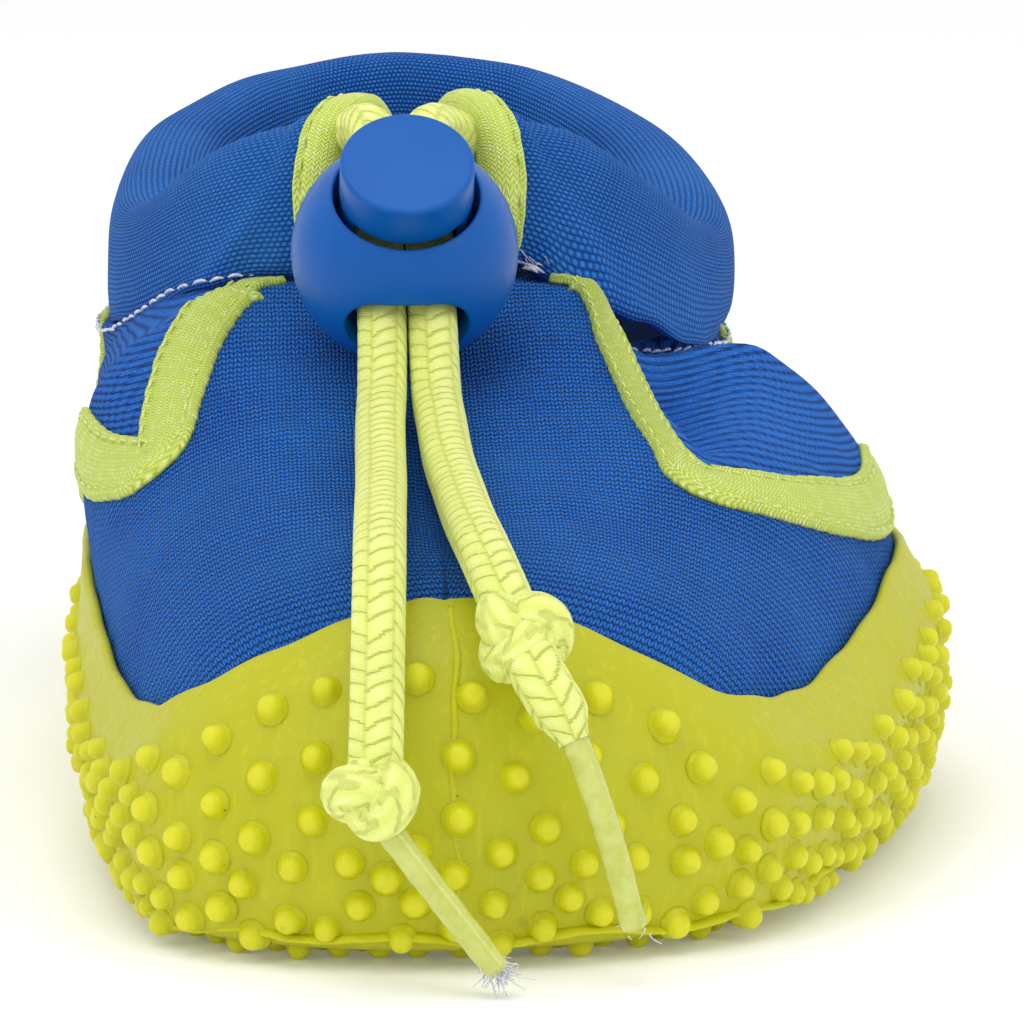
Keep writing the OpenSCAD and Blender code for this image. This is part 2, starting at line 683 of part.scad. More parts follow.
module drawcord_loop() {
    straight = [0, 4, 8, 12];
    steps = 26;
    route = concat(
        [for (r = straight) lock_line(1, r)],
        [for (p = lead_lateral) mm(p)],
        [for (i = [0:steps]) channel(channel_first + (loop_n - 2 * channel_first) * i / steps)],
        [for (i = [len(lead_medial) - 1:-1:0]) mm(lead_medial[i])],
        [for (i = [len(straight) - 1:-1:0]) lock_line(-1, straight[i])]
    );
    color(webbing) tube(route, cord_d, 78, 10);
}

// Free ends, from the lock's lower mouth over the forefoot and the toe: x, distance back, height.
end_left = [
    [-11.4, 50.5, 37.1], [-11.7, 45, 35.3], [-11.9, 38, 33.9], [-12.1, 30, 32.7], [-12.4, 22, 31.9],
    [-12.7, 14, 30.9], [-12.9, 8.6, 29.2], [-13.1, 4.6, 26], [-13.3, 1.2, 21.8], [-13.5, -2, 18.2],
    [-13.7, -4.3, 15]
];
end_right = [
    [-6.9, 50.5, 36.9], [-6.7, 45, 35.2], [-6.5, 37, 33.5], [-6, 28, 32.2], [-5.3, 19, 31.4],
    [-4.3, 11, 30.4], [-2.8, 5.6, 28.4], [-2.6, 2, 25.6], [-1.4, -0.9, 23], [0.2, -2.2, 20.4],
    [1.1, -2.9, 18.4]
];
knot_left_at = mm([-13.7, -4.3, 15]);
knot_right_at = mm([-2.6, 2, 25.6]);
tip_left = [mm([-12.4, -5.3, 12]), mm([-4.6, -6.2, 1.9])];
tip_right = [mm([1.1, -2.9, 18.4]), mm([5.5, -3.6, 4.4])];

module free_end(side, rest) {
    route = concat([lock_line(side, 0), lock_line(side, -5), lock_line(side, -9.5)], [for (p = rest) mm(p)]);
    color(webbing) tube(route, cord_d, 34, 10);
}
module drawcord_end_left() free_end(-1, end_left);
module drawcord_end_right() free_end(1, end_right);
module cord_knot_left() {
    color(webbing) translate(knot_left_at) sphere(d = knot_d, $fn = 48);
}
module cord_knot_right() {
    color(webbing) translate(knot_right_at) sphere(d = knot_d, $fn = 48);
}
module rod(ends, dia) {
    v = ends[1] - ends[0];
    translate(ends[0])
        rotate([0, acos(v[2] / norm(v)), atan2(v[1], v[0])])
            cylinder(h = norm(v), d = dia, $fn = 32);
}
module cord_tip_left() {
    color("palegreen") rod(tip_left, tip_d);
}
module cord_tip_right() {
    color("palegreen") rod(tip_right, tip_d);
}

outsole();
lasting_board();
insole();
vamp();
quarter_lateral();
quarter_medial();
heel_panel();
trim_tape_lateral();
trim_tape_medial();
collar();
collar_binding_lateral();
collar_binding_medial();
collar_seam_thread();
throat_bartack();
drawcord_loop();
drawcord_end_left();
drawcord_end_right();
cord_knot_left();
cord_knot_right();
cord_tip_left();
cord_tip_right();
lock_barrel();
lock_plunger();
lock_spring();
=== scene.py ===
import math

import bmesh
import bpy
import numpy as np
from mathutils import Matrix, Vector


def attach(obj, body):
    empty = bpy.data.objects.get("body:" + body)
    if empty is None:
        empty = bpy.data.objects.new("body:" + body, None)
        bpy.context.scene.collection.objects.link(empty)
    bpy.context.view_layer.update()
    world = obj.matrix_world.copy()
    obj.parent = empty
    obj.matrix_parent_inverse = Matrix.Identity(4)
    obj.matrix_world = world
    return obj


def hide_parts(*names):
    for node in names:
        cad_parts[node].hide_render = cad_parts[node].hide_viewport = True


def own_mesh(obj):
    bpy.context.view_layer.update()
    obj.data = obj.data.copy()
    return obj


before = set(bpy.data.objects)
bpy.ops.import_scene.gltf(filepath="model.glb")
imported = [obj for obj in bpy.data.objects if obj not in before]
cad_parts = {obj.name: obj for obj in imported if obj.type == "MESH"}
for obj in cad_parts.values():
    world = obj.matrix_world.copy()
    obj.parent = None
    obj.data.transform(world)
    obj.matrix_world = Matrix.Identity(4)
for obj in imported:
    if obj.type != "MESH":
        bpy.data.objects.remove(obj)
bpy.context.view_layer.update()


scene = bpy.context.scene
MM = 0.001
WELD = 2e-6  # metres: points closer than this are one point
STITCH_PITCH = 1.9

# ---- the shoe's shape, as in the CAD: millimetres, b back from the toe ---------------------------
SOLE_L = 178.0
WALL_T, RIM_T, NUB_H = 1.4, 1.0, 1.2
UPPER_T, TAPE_T, TAPE_W = 2.6, 0.8, 5.8
GAP = 0.12
BASE_Z = 5.5 + GAP
INSOLE_Z = BASE_Z + 1.2 + GAP
INSOLE_T = 3.0
LATERAL_ROWS = [
    [-7.5, 2.6, 26, 2.5, 90, 0, 0, 3], [4.5, 5, 24.2, 2.5, 90, 0, 0, 3.2],
    [14.8, 12, 18.6, 2.5, 90, 0, 1, 4.5], [20.2, 22.3, 16.7, 2.6, 90, 0, 2.4, 6],
    [26, 37, 17.8, 2.8, 90, 0.3, 2.5, 6.5], [31.5, 53.5, 20.6, 2.8, 90, 0.5, 1.6, 6.5],
    [33.6, 69, 22, 2.8, 90, 1, 1.4, 6], [31.9, 88, 21, 2.45, 72, 0.8, 1, 5.5],
    [27.7, 108, 19, 2.1, 60, 0.4, 0.8, 5], [23.8, 129, 18.5, 2, 52, 1, 0.6, 4.5],
    [20.3, 150, 21, 2, 50, 1.2, 0.5, 4], [11.2, 169.6, 27, 2, 50, 1.2, 0.5, 3.5],
    [-4.8, 174.9, 30, 2, 50, 1.4, 0.5, 3],
]
MEDIAL_ROWS = [
    [-19.5, 4.8, 24.2, 2.5, 90, 0, 0.3, 3.2], [-27.4, 10.8, 19.6, 2.5, 90, 0.3, 1, 4],
    [-30.6, 21, 16.5, 2.6, 90, 0.8, 1.3, 4.5], [-32.8, 37, 17.2, 2.7, 90, 1.8, 1.1, 4.5],
    [-33.8, 54, 19.4, 2.9, 90, 2.9, 0.9, 4.5], [-33, 70, 21, 3.2, 90, 6.2, 0.8, 4.5],
    [-32.6, 88, 20.4, 2.5, 72, 6, 0.6, 4.5], [-30.8, 108, 18.8, 2.1, 60, 4.8, 0.5, 4.5],
    [-28.7, 129, 18.5, 2, 52, 2.8, 0.5, 4], [-27.5, 150, 21, 2, 50, 1.2, 0.5, 4],
    [-19.1, 169.6, 27, 2, 50, 1.2, 0.5, 3.5],
]
ROWS = np.array(LATERAL_ROWS + MEDIAL_ROWS[::-1], float)
LOOP_N = len(ROWS)
SIDE_N = LOOP_N // 2
RIDGE_X = -7.6
RIDGE_ROWS = np.array(
    [[25, 28.9], [29, 29.5], [35, 30.4], [43, 32], [53, 34.4], [66, 38.4], [79, 43.6]], float)
THROAT = len(RIDGE_ROWS) - 1
SEAM_ROWS = np.array([
    [-7.6, 79, 43.6], [5.7, 83.5, 42.9], [17.8, 101, 36], [21.6, 119, 33.6], [18.6, 143, 35.6],
    [9, 163, 38.2], [-5.2, 169.5, 39.2], [-19.4, 163, 38.4], [-29.6, 143, 36.8],
    [-32.6, 119, 35.8], [-30.6, 101, 37.6], [-22, 84, 42.4], [-7.6, 79, 43.6]], float)
FRONT_LINES = {
    1: [[3.95, 0.66], [4.45, 0.76], [5.3, 0.825], [6.1, 0.87], [6.9, 1]],
    -1: [[4.8, 0.53], [5.15, 0.615], [5.65, 0.72], [6.25, 0.85], [6.9, 1]],
}
LOW_LINES = {
    1: [[3.95, 0.66], [4.15, 0.55], [4.7, 0.41], [5.6, 0.3], [6.7, 0.325], [7.3, 0.385], [7.8, 0.455]],
    -1: [[4.8, 0.53], [5.15, 0.43], [5.65, 0.36], [6.6, 0.33], [7.3, 0.39], [7.8, 0.455]],
}
TAPE_REAR = [[7.8, 0.455], [8.6, 0.72], [9.3, 1]]
TOE_S = 0.6
COLLAR_ROWS = np.array([
    [15.4, 8.4, -1], [14.2, 9, -1.2], [13, 10.4, -2], [14.6, 11, -2.4], [16.6, 10.6, -2.2],
    [17.6, 9.6, -2], [18, 9.2, -2]], float)
COLLAR_FIRST = THROAT + 0.16
COLLAR_BEVEL = 0.3
BELLY_Z = 12.0
SEAT_DEPTH = 4.8
CORD_D = 4.2
LOCK_AT = np.array([-9.1, 62.5 - SOLE_L / 2, 47.5])
LOCK_TILT = math.radians(42)
LOCK_D, BUTTON_D, BORE_D = 19.0, 11.1, 12.1


def place(points):
    """Millimetres with y counted back from the toe, to the shoe's frame."""
    out = np.array(points, float)
    out[..., 1] -= SOLE_L / 2
    return out


def spline(a, b, c, d, t):
    return 0.5 * (2 * b + (c - a) * t + (2 * a - 5 * b + 4 * c - d) * t * t
                  + (3 * b - a - 3 * c + d) * t ** 3)


def loop_row(p):
    p = np.asarray(p, float)
    i = np.floor(p).astype(int)
    return spline(ROWS[(i - 1) % LOOP_N], ROWS[i % LOOP_N], ROWS[(i + 1) % LOOP_N],
                  ROWS[(i + 2) % LOOP_N], (p - i)[..., None])


def open_curve(pts, q):
    pts = np.asarray(pts, float)
    q = np.asarray(q, float)
    ends = np.vstack([2 * pts[0] - pts[1], pts, 2 * pts[-1] - pts[-2]])
    i = np.clip(np.floor(q).astype(int), 0, len(pts) - 2)
    return spline(ends[i], ends[i + 1], ends[i + 2], ends[i + 3], (q - i)[..., None])


def from_toe(p):
    w = np.mod(p, LOOP_N)
    return np.minimum(w, LOOP_N - w)


def top_point(p):
    p = np.asarray(p, float)
    q = from_toe(p)
    back = open_curve(np.vstack([RIDGE_ROWS[1], RIDGE_ROWS]), np.minimum(q, THROAT) + 1)
    ridge = np.stack([np.full_like(q, RIDGE_X), back[..., 0], back[..., 1]], -1)
    seam = open_curve(SEAM_ROWS, np.clip(np.mod(p, LOOP_N) - THROAT, 0, len(SEAM_ROWS) - 1))
    return place(np.where((q <= THROAT)[..., None], ridge, seam))


def foot_point(p):
    r = loop_row(p)
    return place(np.stack([r[..., 0], r[..., 1], np.full(r.shape[:-1], BASE_Z)], -1))


def outward(a, b):
    v = np.stack([b[..., 1] - a[..., 1], a[..., 0] - b[..., 0], np.zeros(a.shape[:-1])], -1)
    return v / np.linalg.norm(v, axis=-1, keepdims=True)


def foot_normal(p):
    p = np.asarray(p, float)
    return outward(foot_point(p - 0.02), foot_point(p + 0.02))


def seam_normal(p):
    p = np.asarray(p, float)
    return outward(top_point(p - 0.02), top_point(p + 0.02))


def skin(p, s, off=0.0):
    """A point of the upper: p round the shoe, s from the sole to the top, off outwards."""
    p, s, off = np.broadcast_arrays(np.asarray(p, float), np.asarray(s, float), np.asarray(off, float))
    r = loop_row(p)
    e = 2 / r[..., 3]
    steep = np.radians(np.minimum(90, r[..., 4]))
    turn = steep * np.clip(s, 0, 1)
    foot, top = foot_point(p), top_point(p)
    across = (1 - np.maximum(np.cos(turn), 0) ** e) / (1 - np.maximum(np.cos(steep), 0) ** e)
    up = np.sin(turn) ** e / np.sin(steep) ** e
    reach = np.hypot(top[..., 0] - foot[..., 0], top[..., 1] - foot[..., 1])
    rise = top[..., 2] - BASE_Z
    safe = np.minimum(turn, math.radians(89.99))
    lean = np.arctan(reach / rise * np.tan(safe) ** (2 - e))
    lean = np.where(turn > math.radians(89.99), math.pi / 2, lean)
    out = foot_normal(p)
    base = np.stack([foot[..., 0] + (top[..., 0] - foot[..., 0]) * across,
                     foot[..., 1] + (top[..., 1] - foot[..., 1]) * across, BASE_Z + rise * up], -1)
    level = r[..., 5] * np.sin(2 * turn) + off * np.cos(lean)
    return base + out * level[..., None] + np.stack([0 * off, 0 * off, off * np.sin(lean)], -1)


def s_at(p, z):
    r = loop_row(p)
    steep = np.radians(np.minimum(90, r[..., 4]))
    share = np.maximum(0, (z - BASE_Z) / (top_point(p)[..., 2] - BASE_Z))
    return np.arcsin(np.minimum(1, share ** (r[..., 3] / 2) * np.sin(steep))) / steep


def seat(p, s):
    """How far the hanging collar presses the panels in below the seam."""
    q = from_toe(p)
    edge = np.interp(s, [r[1] for r in FRONT_LINES[1]], [r[0] for r in FRONT_LINES[1]])
    along = smooth((q - edge - 0.24) / 0.45) * (1 - smooth((q - 7.3) / 0.75))
    lateral = SEAT_DEPTH * along * smooth((s - 0.58) / 0.2)
    medial = np.exp(-((q - 7.9) / 0.7) ** 2) * smooth((s - 0.7) / 0.2)
    at_seam = np.where(q > THROAT + 0.2, 0.8 * smooth((s - 0.95) / 0.05), 0)
    return np.where(np.mod(p, LOOP_N) <= SIDE_N, lateral, medial) + at_seam


def smooth(t):
    t = np.clip(t, 0, 1)
    return t * t * (3 - 2 * t)


def line_s(line, q):
    line = np.array(line)
    return np.interp(q, line[:, 0], line[:, 1])


# ---- small helpers -------------------------------------------------------------------------------
def noise3(points, scale, seed):
    """Smooth noise from a few seeded sine waves, about -1 to 1."""
    rng = np.random.default_rng(seed)
    out = np.zeros(points.shape[:-1])
    for _ in range(7):
        k = rng.normal(size=3)
        k *= rng.uniform(0.6, 1.6) / np.linalg.norm(k) * 2 * math.pi / scale
        out += np.sin(points @ k + rng.uniform(0, 2 * math.pi))
    return out / 3.0


def arc_lengths(points):
    """Length along a line of points, at each of them."""
    return np.concatenate([[0], np.cumsum(np.linalg.norm(np.diff(points, axis=0), axis=1))])


def mesh_object(name, verts, faces, materials, body="shoe", uv=None, relief=None):
    """A mesh piece from points in millimetres. uv is one pair a point, in millimetres."""
    me = bpy.data.meshes.new(name)
    me.from_pydata((np.asarray(verts, float) * MM).tolist(), [], [tuple(map(int, f)) for f in faces])
    for m in materials:
        me.materials.append(m)
    corner = np.zeros(len(me.loops), int)
    me.loops.foreach_get("vertex_index", corner)
    if uv is not None:
        layer = me.uv_layers.new(name="UVMap")
        layer.data.foreach_set("uv", np.asarray(uv, float)[corner].ravel())
    if relief is not None:
        me.attributes.new("relief", "FLOAT", "POINT").data.foreach_set("value", np.asarray(relief, float))
    me.polygons.foreach_set("use_smooth", np.full(len(me.polygons), True))
    me.update()
    ob = bpy.data.objects.new(name, me)
    scene.collection.objects.link(ob)
    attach(ob, body)
    return ob


def grid_faces(n, m, start=0, flip=False, wrap_n=False, wrap_m=False):
    rows_n, cols_m = (n if wrap_n else n - 1), (m if wrap_m else m - 1)
    i, k = np.meshgrid(np.arange(rows_n), np.arange(cols_m), indexing="ij")
    i2, k2 = (i + 1) % n, (k + 1) % m
    quads = np.stack([i * m + k, i2 * m + k, i2 * m + k2, i * m + k2], -1).reshape(-1, 4) + start
    return quads[:, ::-1] if flip else quads


def weld(me, mend=None, distance=WELD):
    """Joins a mesh's doubled points, mends it, and turns its faces outwards."""
    bm = bmesh.new()
    bm.from_mesh(me)
    if distance:
        bmesh.ops.remove_doubles(bm, verts=bm.verts, dist=distance)
    if mend:
        mend(bm)
    bmesh.ops.recalc_face_normals(bm, faces=bm.faces)
    bm.to_mesh(me)
    bm.free()


def slab(outer, inner, flip=False):
    """Two grids of points as one closed thin solid: points and faces."""
    n, m = outer.shape[:2]
    second = n * m
    skins = [grid_faces(n, m, 0, flip), grid_faces(n, m, second, not flip)]
    ids = np.arange(second).reshape(n, m)
    for line, turn in ((ids[:, 0], not flip), (ids[:, -1], flip), (ids[0], flip), (ids[-1], not flip)):
        quads = np.stack([line[:-1], line[1:], line[1:] + second, line[:-1] + second], -1)
        skins.append(quads[:, ::-1] if turn else quads)
    return np.vstack([outer.reshape(-1, 3), inner.reshape(-1, 3)]), np.vstack(skins)


def frames_along(path):
    """Tangent and two side vectors at each point of a path, with no sudden twist."""
    t = np.gradient(path, axis=0)
    t /= np.linalg.norm(t, axis=1, keepdims=True)
    a = np.zeros_like(t)
    start = np.array([1.0, 0, 0]) if abs(t[0][0]) < 0.8 else np.array([0, 0, 1.0])
    a[0] = start - t[0] * (start @ t[0])
    a[0] /= np.linalg.norm(a[0])
    for i in range(1, len(t)):
        v = a[i - 1] - t[i] * (a[i - 1] @ t[i])
        a[i] = v / np.linalg.norm(v)
    return t, a, np.cross(t, a)


def resample(path, step):
    path = np.asarray(path, float)
    d = arc_lengths(path)
    n = max(2, int(round(d[-1] / step)) + 1)
    at = np.linspace(0, d[-1], n)
    return np.stack([np.interp(at, d, path[:, k]) for k in range(3)], 1), d[-1]


def curve_path(points, count):
    return open_curve(points, np.linspace(0, len(points) - 1, count))


def capsules(centres, alongs, ups, length, radius, bend):
    """Short round stitches, each arched a little out of its surface: points and faces."""
    segs, sides = 6, 6
    verts, faces = [], []
    u = np.linspace(-1, 1, segs + 1)
    ring = np.linspace(0, 2 * math.pi, sides, endpoint=False)
    for c, t, n in zip(centres, alongs, ups):
        side = np.cross(n, t)
        start = len(verts)
        for a in u:
            r = radius * math.sqrt(max(0.12, 1 - abs(a) ** 4))
            mid = c + t * (a * length / 2) + n * (bend * (1 - a * a) - 0.35 * bend)
            for g in ring:
                verts.append(mid + side * (r * math.cos(g)) + n * (r * math.sin(g)))
        faces += grid_faces(segs + 1, sides, start, True, False, True).tolist()
        faces.append([start + k for k in range(sides)])
        faces.append([start + segs * sides + k for k in range(sides)][::-1])
    return np.array(verts), faces


def tube_mesh(path, radii, sides):
    """A round tube along a path, closed at both ends."""
    path = np.asarray(path, float)
    _, a, b = frames_along(path)
    g = np.linspace(0, 2 * math.pi, sides, endpoint=False)
    r = np.broadcast_to(np.asarray(radii, float), (len(path),))[:, None, None]
    pts = path[:, None] + r * (a[:, None] * np.cos(g)[None, :, None] + b[:, None] * np.sin(g)[None, :, None])
    faces = grid_faces(len(path), sides, 0, True, False, True).tolist()
    faces.append(list(range(sides)))
    faces.append(list(range((len(path) - 1) * sides, len(path) * sides))[::-1])
    return pts.reshape(-1, 3), faces


def fibres(starts, directions, lengths, radius, seed, curl=0.5):
    """Thin loose fibres as one mesh."""
    rng = np.random.default_rng(seed)
    verts, faces = [], []
    for c, d, length in zip(starts, directions, lengths):
        bend = rng.normal(size=3) * curl
        t = np.linspace(0, 1, 7)[:, None]
        path = c + d * length * t + bend * length * t * t * 0.5
        v, f = tube_mesh(path, radius * np.linspace(1, 0.6, 7), 4)
        faces += [[k + len(verts) for k in q] for q in f]
        verts += v.tolist()
    return np.array(verts), faces


# ---- materials -----------------------------------------------------------------------------------
class Nodes:
    """A material's nodes, built with short calls."""

    def __init__(self, name):
        self.material = bpy.data.materials.new(name)
        self.material.use_nodes = True
        self.tree = self.material.node_tree
        self.bsdf = next(n for n in self.tree.nodes if n.type == "BSDF_PRINCIPLED")

    def node(self, kind, **settings):
        n = self.tree.nodes.new(kind)
        for key, value in settings.items():
            setattr(n, key, value)
        return n

    def put(self, socket, value):
        if isinstance(value, bpy.types.NodeSocket):
            self.tree.links.new(value, socket)
        elif isinstance(value, (tuple, list)):
            socket.default_value = value if len(value) == len(socket.default_value) else (*value, 1)
        else:
            socket.default_value = value

    def math(self, op, a, b=0.0):
        n = self.node("ShaderNodeMath", operation=op)
        self.put(n.inputs[0], a)
        self.put(n.inputs[1], b)
        return n.outputs[0]

    def add(self, a, b):
        return self.math("ADD", a, b)

    def mul(self, a, b):
        return self.math("MULTIPLY", a, b)

    def fold(self, value):
        """1 at each whole number and 0 half way between them."""
        centred = self.math("SUBTRACT", self.math("FRACT", value), 0.5)
        return self.math("ABSOLUTE", self.mul(centred, 2.0))

    def wave(self, value):
        """Half a sine wave for a value from 0 to 1."""
        return self.math("SINE", self.mul(value, math.pi))

    def mix(self, factor, a, b):
        n = self.node("ShaderNodeMix", data_type="RGBA")
        self.put(n.inputs["Factor"], factor)
        self.put(n.inputs[6], a)
        self.put(n.inputs[7], b)
        return n.outputs[2]

    def noise(self, scale, detail, rough, vector=None):
        n = self.node("ShaderNodeTexNoise")
        self.put(n.inputs["Scale"], scale)
        self.put(n.inputs["Detail"], detail)
        self.put(n.inputs["Roughness"], rough)
        self.put(n.inputs["Vector"], vector if vector is not None else self.spot())
        return n.outputs["Fac"]

    def spot(self):
        return self.node("ShaderNodeTexCoord").outputs["Object"]

    def span(self, value, low, high, to_low=0.0, to_high=1.0):
        n = self.node("ShaderNodeMapRange")
        for key, v in zip(("Value", "From Min", "From Max", "To Min", "To Max"),
                          (value, low, high, to_low, to_high)):
            self.put(n.inputs[key], v)
        return n.outputs[0]

    def uv(self):
        sep = self.node("ShaderNodeSeparateXYZ")
        self.put(sep.inputs[0], self.node("ShaderNodeTexCoord").outputs["UV"])
        return sep.outputs[0], sep.outputs[1]

    def height(self):
        sep = self.node("ShaderNodeSeparateXYZ")
        self.put(sep.inputs[0], self.spot())
        return sep.outputs[2]

    def relief(self):
        return self.node("ShaderNodeAttribute", attribute_name="relief").outputs["Fac"]

    def stretched(self, scale):
        n = self.node("ShaderNodeMapping")
        self.put(n.inputs["Vector"], self.spot())
        self.put(n.inputs["Scale"], scale)
        return n.outputs[0]

    def bump(self, height, distance, strength=1.0, normal=None):
        n = self.node("ShaderNodeBump")
        self.put(n.inputs["Height"], height)
        self.put(n.inputs["Distance"], distance)
        self.put(n.inputs["Strength"], strength)
        if normal is not None:
            self.put(n.inputs["Normal"], normal)
        return n.outputs[0]

    def finish(self, **sockets):
        for key, value in sockets.items():
            self.put(self.bsdf.inputs[key.replace("_", " ")], value)
        return self.material


def linear(r, g, b):
    return tuple(((c / 255 + 0.055) / 1.055) ** 2.4 if c > 10.3 else c / 255 / 12.92 for c in (r, g, b))


def rubber_material(name, base, deep, light):
    """Moulded rubber: painted highlight on the nubs' tops and painted olive shade in the hollows, with grain
    and a little dust.
    """
    m = Nodes(name)
    relief = m.relief()
    broad = m.noise(60, 3, 0.55)
    grain = m.noise(900, 4, 0.6)
    fine = m.noise(2600, 2, 0.5)
    drawn = m.noise(1300, 3, 0.6, m.stretched((1, 1, 0.16)))
    # painted shade and highlight from the relief: deep olive low on the nubs and between them, base up their
    # sides, light on their tops
    color = m.mix(m.span(relief, 0.0, 0.55), deep, base)
    color = m.mix(m.span(relief, 0.55, 1.0), color, light)
    color = m.mix(m.span(broad, 0.3, 0.7, 0.0, 0.4), color, deep)
    color = m.mix(m.span(drawn, 0.55, 0.8, 0.0, 0.35), color, light)
    grime = m.mul(m.span(m.noise(330, 5, 0.7), 0.6, 0.74), m.span(m.height(), 0.02, 0.002, 0.1, 0.6))
    color = m.mix(grime, color, linear(140, 132, 50))
    specks = m.node("ShaderNodeTexVoronoi")
    m.put(specks.inputs["Scale"], 420.0)
    m.put(specks.inputs["Vector"], m.spot())
    speck = m.mul(m.math("LESS_THAN", specks.outputs["Distance"], 0.05),
                  m.math("GREATER_THAN", m.noise(140, 1, 0.5), 0.62))
    color = m.mix(m.mul(speck, 0.6), color, linear(96, 84, 34))
    normal = m.bump(m.add(grain, m.mul(drawn, 0.8)), 0.00014, 0.6)
    normal = m.bump(fine, 0.00004, 0.5, normal)
    return m.finish(Base_Color=color, Roughness=m.span(grain, 0.3, 0.7, 0.38, 0.55),
                    Subsurface_Weight=0.06, Subsurface_Radius=(0.0012, 0.001, 0.0003),
                    Subsurface_Scale=0.4, Specular_IOR_Level=0.4, Normal=normal)


def knit_material(name, base, deep, light, course=0.6, wale=0.5, slant=0.45, depth=0.0003,
                  dots=False, rows=0.4):
    """Weft knit: rows of V-shaped loops, or of round ones for dots.

    course is the row height and wale the loop width, in mm; rows is how little a row breaks into loops.
    """
    m = Nodes(name)
    u, v = m.uv()
    wander = m.mul(m.math("SUBTRACT", m.noise(260, 2, 0.5), 0.5), 0.5)
    cell = m.add(m.math("DIVIDE", u, wale), wander)
    row = m.add(m.math("DIVIDE", v, course), m.mul(wander, 0.7))
    if dots:
        cell = m.add(cell, m.mul(m.math("FLOOR", row), 0.5))
    across = m.fold(cell)
    phase = m.math("FRACT", m.add(row, m.mul(across, slant)))
    leg = m.math("POWER", m.wave(phase), 0.7)
    if dots:
        body = m.math("POWER", m.math("COSINE", m.mul(across, math.pi / 2)), 0.9)
    else:
        body = m.math("POWER", m.wave(across), 0.6)
    body = m.add(m.mul(body, 1 - rows), rows)
    height = m.mul(leg, body)
    yarn = m.noise(5200, 2, 0.6)
    broad = m.noise(70, 3, 0.5)
    # painted shade in the hollows between the loops and a painted highlight on the loops' crowns where the
    # yarn noise is high; the broad light patches are the yarn's random tone
    color = m.mix(m.span(height, 0.15, 0.85), deep, base)
    color = m.mix(m.mul(m.span(yarn, 0.42, 0.7), m.span(height, 0.4, 1)), color, light)
    color = m.mix(m.span(broad, 0.35, 0.75, 0.0, 0.22), color, light)
    normal = m.bump(m.add(height, m.mul(yarn, 0.3)), depth, 1.0)
    normal = m.bump(m.noise(420, 3, 0.5), 0.0001, 0.35, normal)
    return m.finish(Base_Color=color, Roughness=0.82, Specular_IOR_Level=0.22, Sheen_Weight=0.12,
                    Sheen_Roughness=0.4, Sheen_Tint=(*light, 1), Normal=normal)


def tape_material(name, base, deep, light):
    """Narrow woven binding: a fine herringbone along the tape, with a glossy yarn, painted shade in the
    weave's hollows and painted glints on its raised yarn.
    """
    m = Nodes(name)
    u, v = m.uv()
    lane = m.fold(m.math("DIVIDE", u, 0.7))
    phase = m.math("FRACT", m.add(m.math("DIVIDE", v, 0.4), m.mul(lane, 0.9)))
    yarn = m.wave(m.math("FRACT", m.math("DIVIDE", u, 0.38)))
    height = m.mul(m.math("POWER", m.wave(phase), 0.7), m.add(m.mul(yarn, 0.5), 0.5))
    painted_glint_mask = m.noise(1500, 2, 0.6)
    # painted shade in the weave's hollows and painted glints on the raised yarn in patches; the last mix is
    # random darker tone
    color = m.mix(m.span(height, 0.1, 0.9), deep, base)
    color = m.mix(m.mul(m.span(height, 0.55, 1.0), m.span(painted_glint_mask, 0.5, 0.62)), color, light)
    color = m.mix(m.span(m.noise(90, 2, 0.5), 0.4, 0.8, 0.0, 0.3), color, deep)
    normal = m.bump(height, 0.00011, 0.9)
    normal = m.bump(m.noise(700, 3, 0.5), 0.0001, 0.4, normal)
    return m.finish(Base_Color=color, Roughness=0.5, Specular_IOR_Level=0.5, Sheen_Weight=0.2,
                    Sheen_Tint=(*light, 1), Normal=normal)


def cord_material(name, base, deep, light):
    """A soft braid: painted shade in the grooves and a painted highlight on the strands' crowns, with hair
    lines along them.
    """
    m = Nodes(name)
    relief = m.relief()
    u, _ = m.uv()
    strand = m.add(u, m.mul(m.noise(500, 2, 0.5), 0.6))
    hair = m.math("SINE", m.mul(strand, 34.0))
    # painted shade in the braid's grooves and a painted highlight in patches on the strands' crowns
    color = m.mix(m.span(relief, 0.0, 0.75), deep, base)
    painted_crown_highlight = m.mul(m.span(relief, 0.6, 1.0), m.span(m.noise(900, 3, 0.6), 0.35, 0.7))
    color = m.mix(painted_crown_highlight, color, light)
    normal = m.bump(m.add(m.mul(hair, 0.3), m.noise(3800, 3, 0.6)), 0.00007, 0.8)
    return m.finish(Base_Color=color, Roughness=0.55, Specular_IOR_Level=0.45, Sheen_Weight=0.3,
                    Sheen_Tint=(*light, 1), Subsurface_Weight=0.08,
                    Subsurface_Radius=(0.001, 0.001, 0.0004), Subsurface_Scale=0.5, Normal=normal)


def plastic_material(name, base, scuffed):
    m = Nodes(name)
    streaks = m.noise(160, 3, 0.6, m.stretched((14, 2, 8)))
    cloud = m.noise(120, 3, 0.5)
    mottled = m.noise(2200, 3, 0.6)
    color = m.mix(m.span(cloud, 0.35, 0.7, 0.0, 0.55), base, scuffed)
    color = m.mix(m.span(streaks, 0.66, 0.72, 0.0, 0.4), color, scuffed)
    edge = m.node("ShaderNodeBevel", samples=4)
    m.put(edge.inputs["Radius"], 0.0004)
    normal = m.bump(mottled, 0.00003, 0.5, edge.outputs[0])
    return m.finish(Base_Color=color, Roughness=m.span(mottled, 0.3, 0.7, 0.3, 0.42),
                    Specular_IOR_Level=0.22, Subsurface_Weight=0.05,
                    Subsurface_Radius=(0.0006, 0.001, 0.0016), Subsurface_Scale=0.5, Normal=normal)


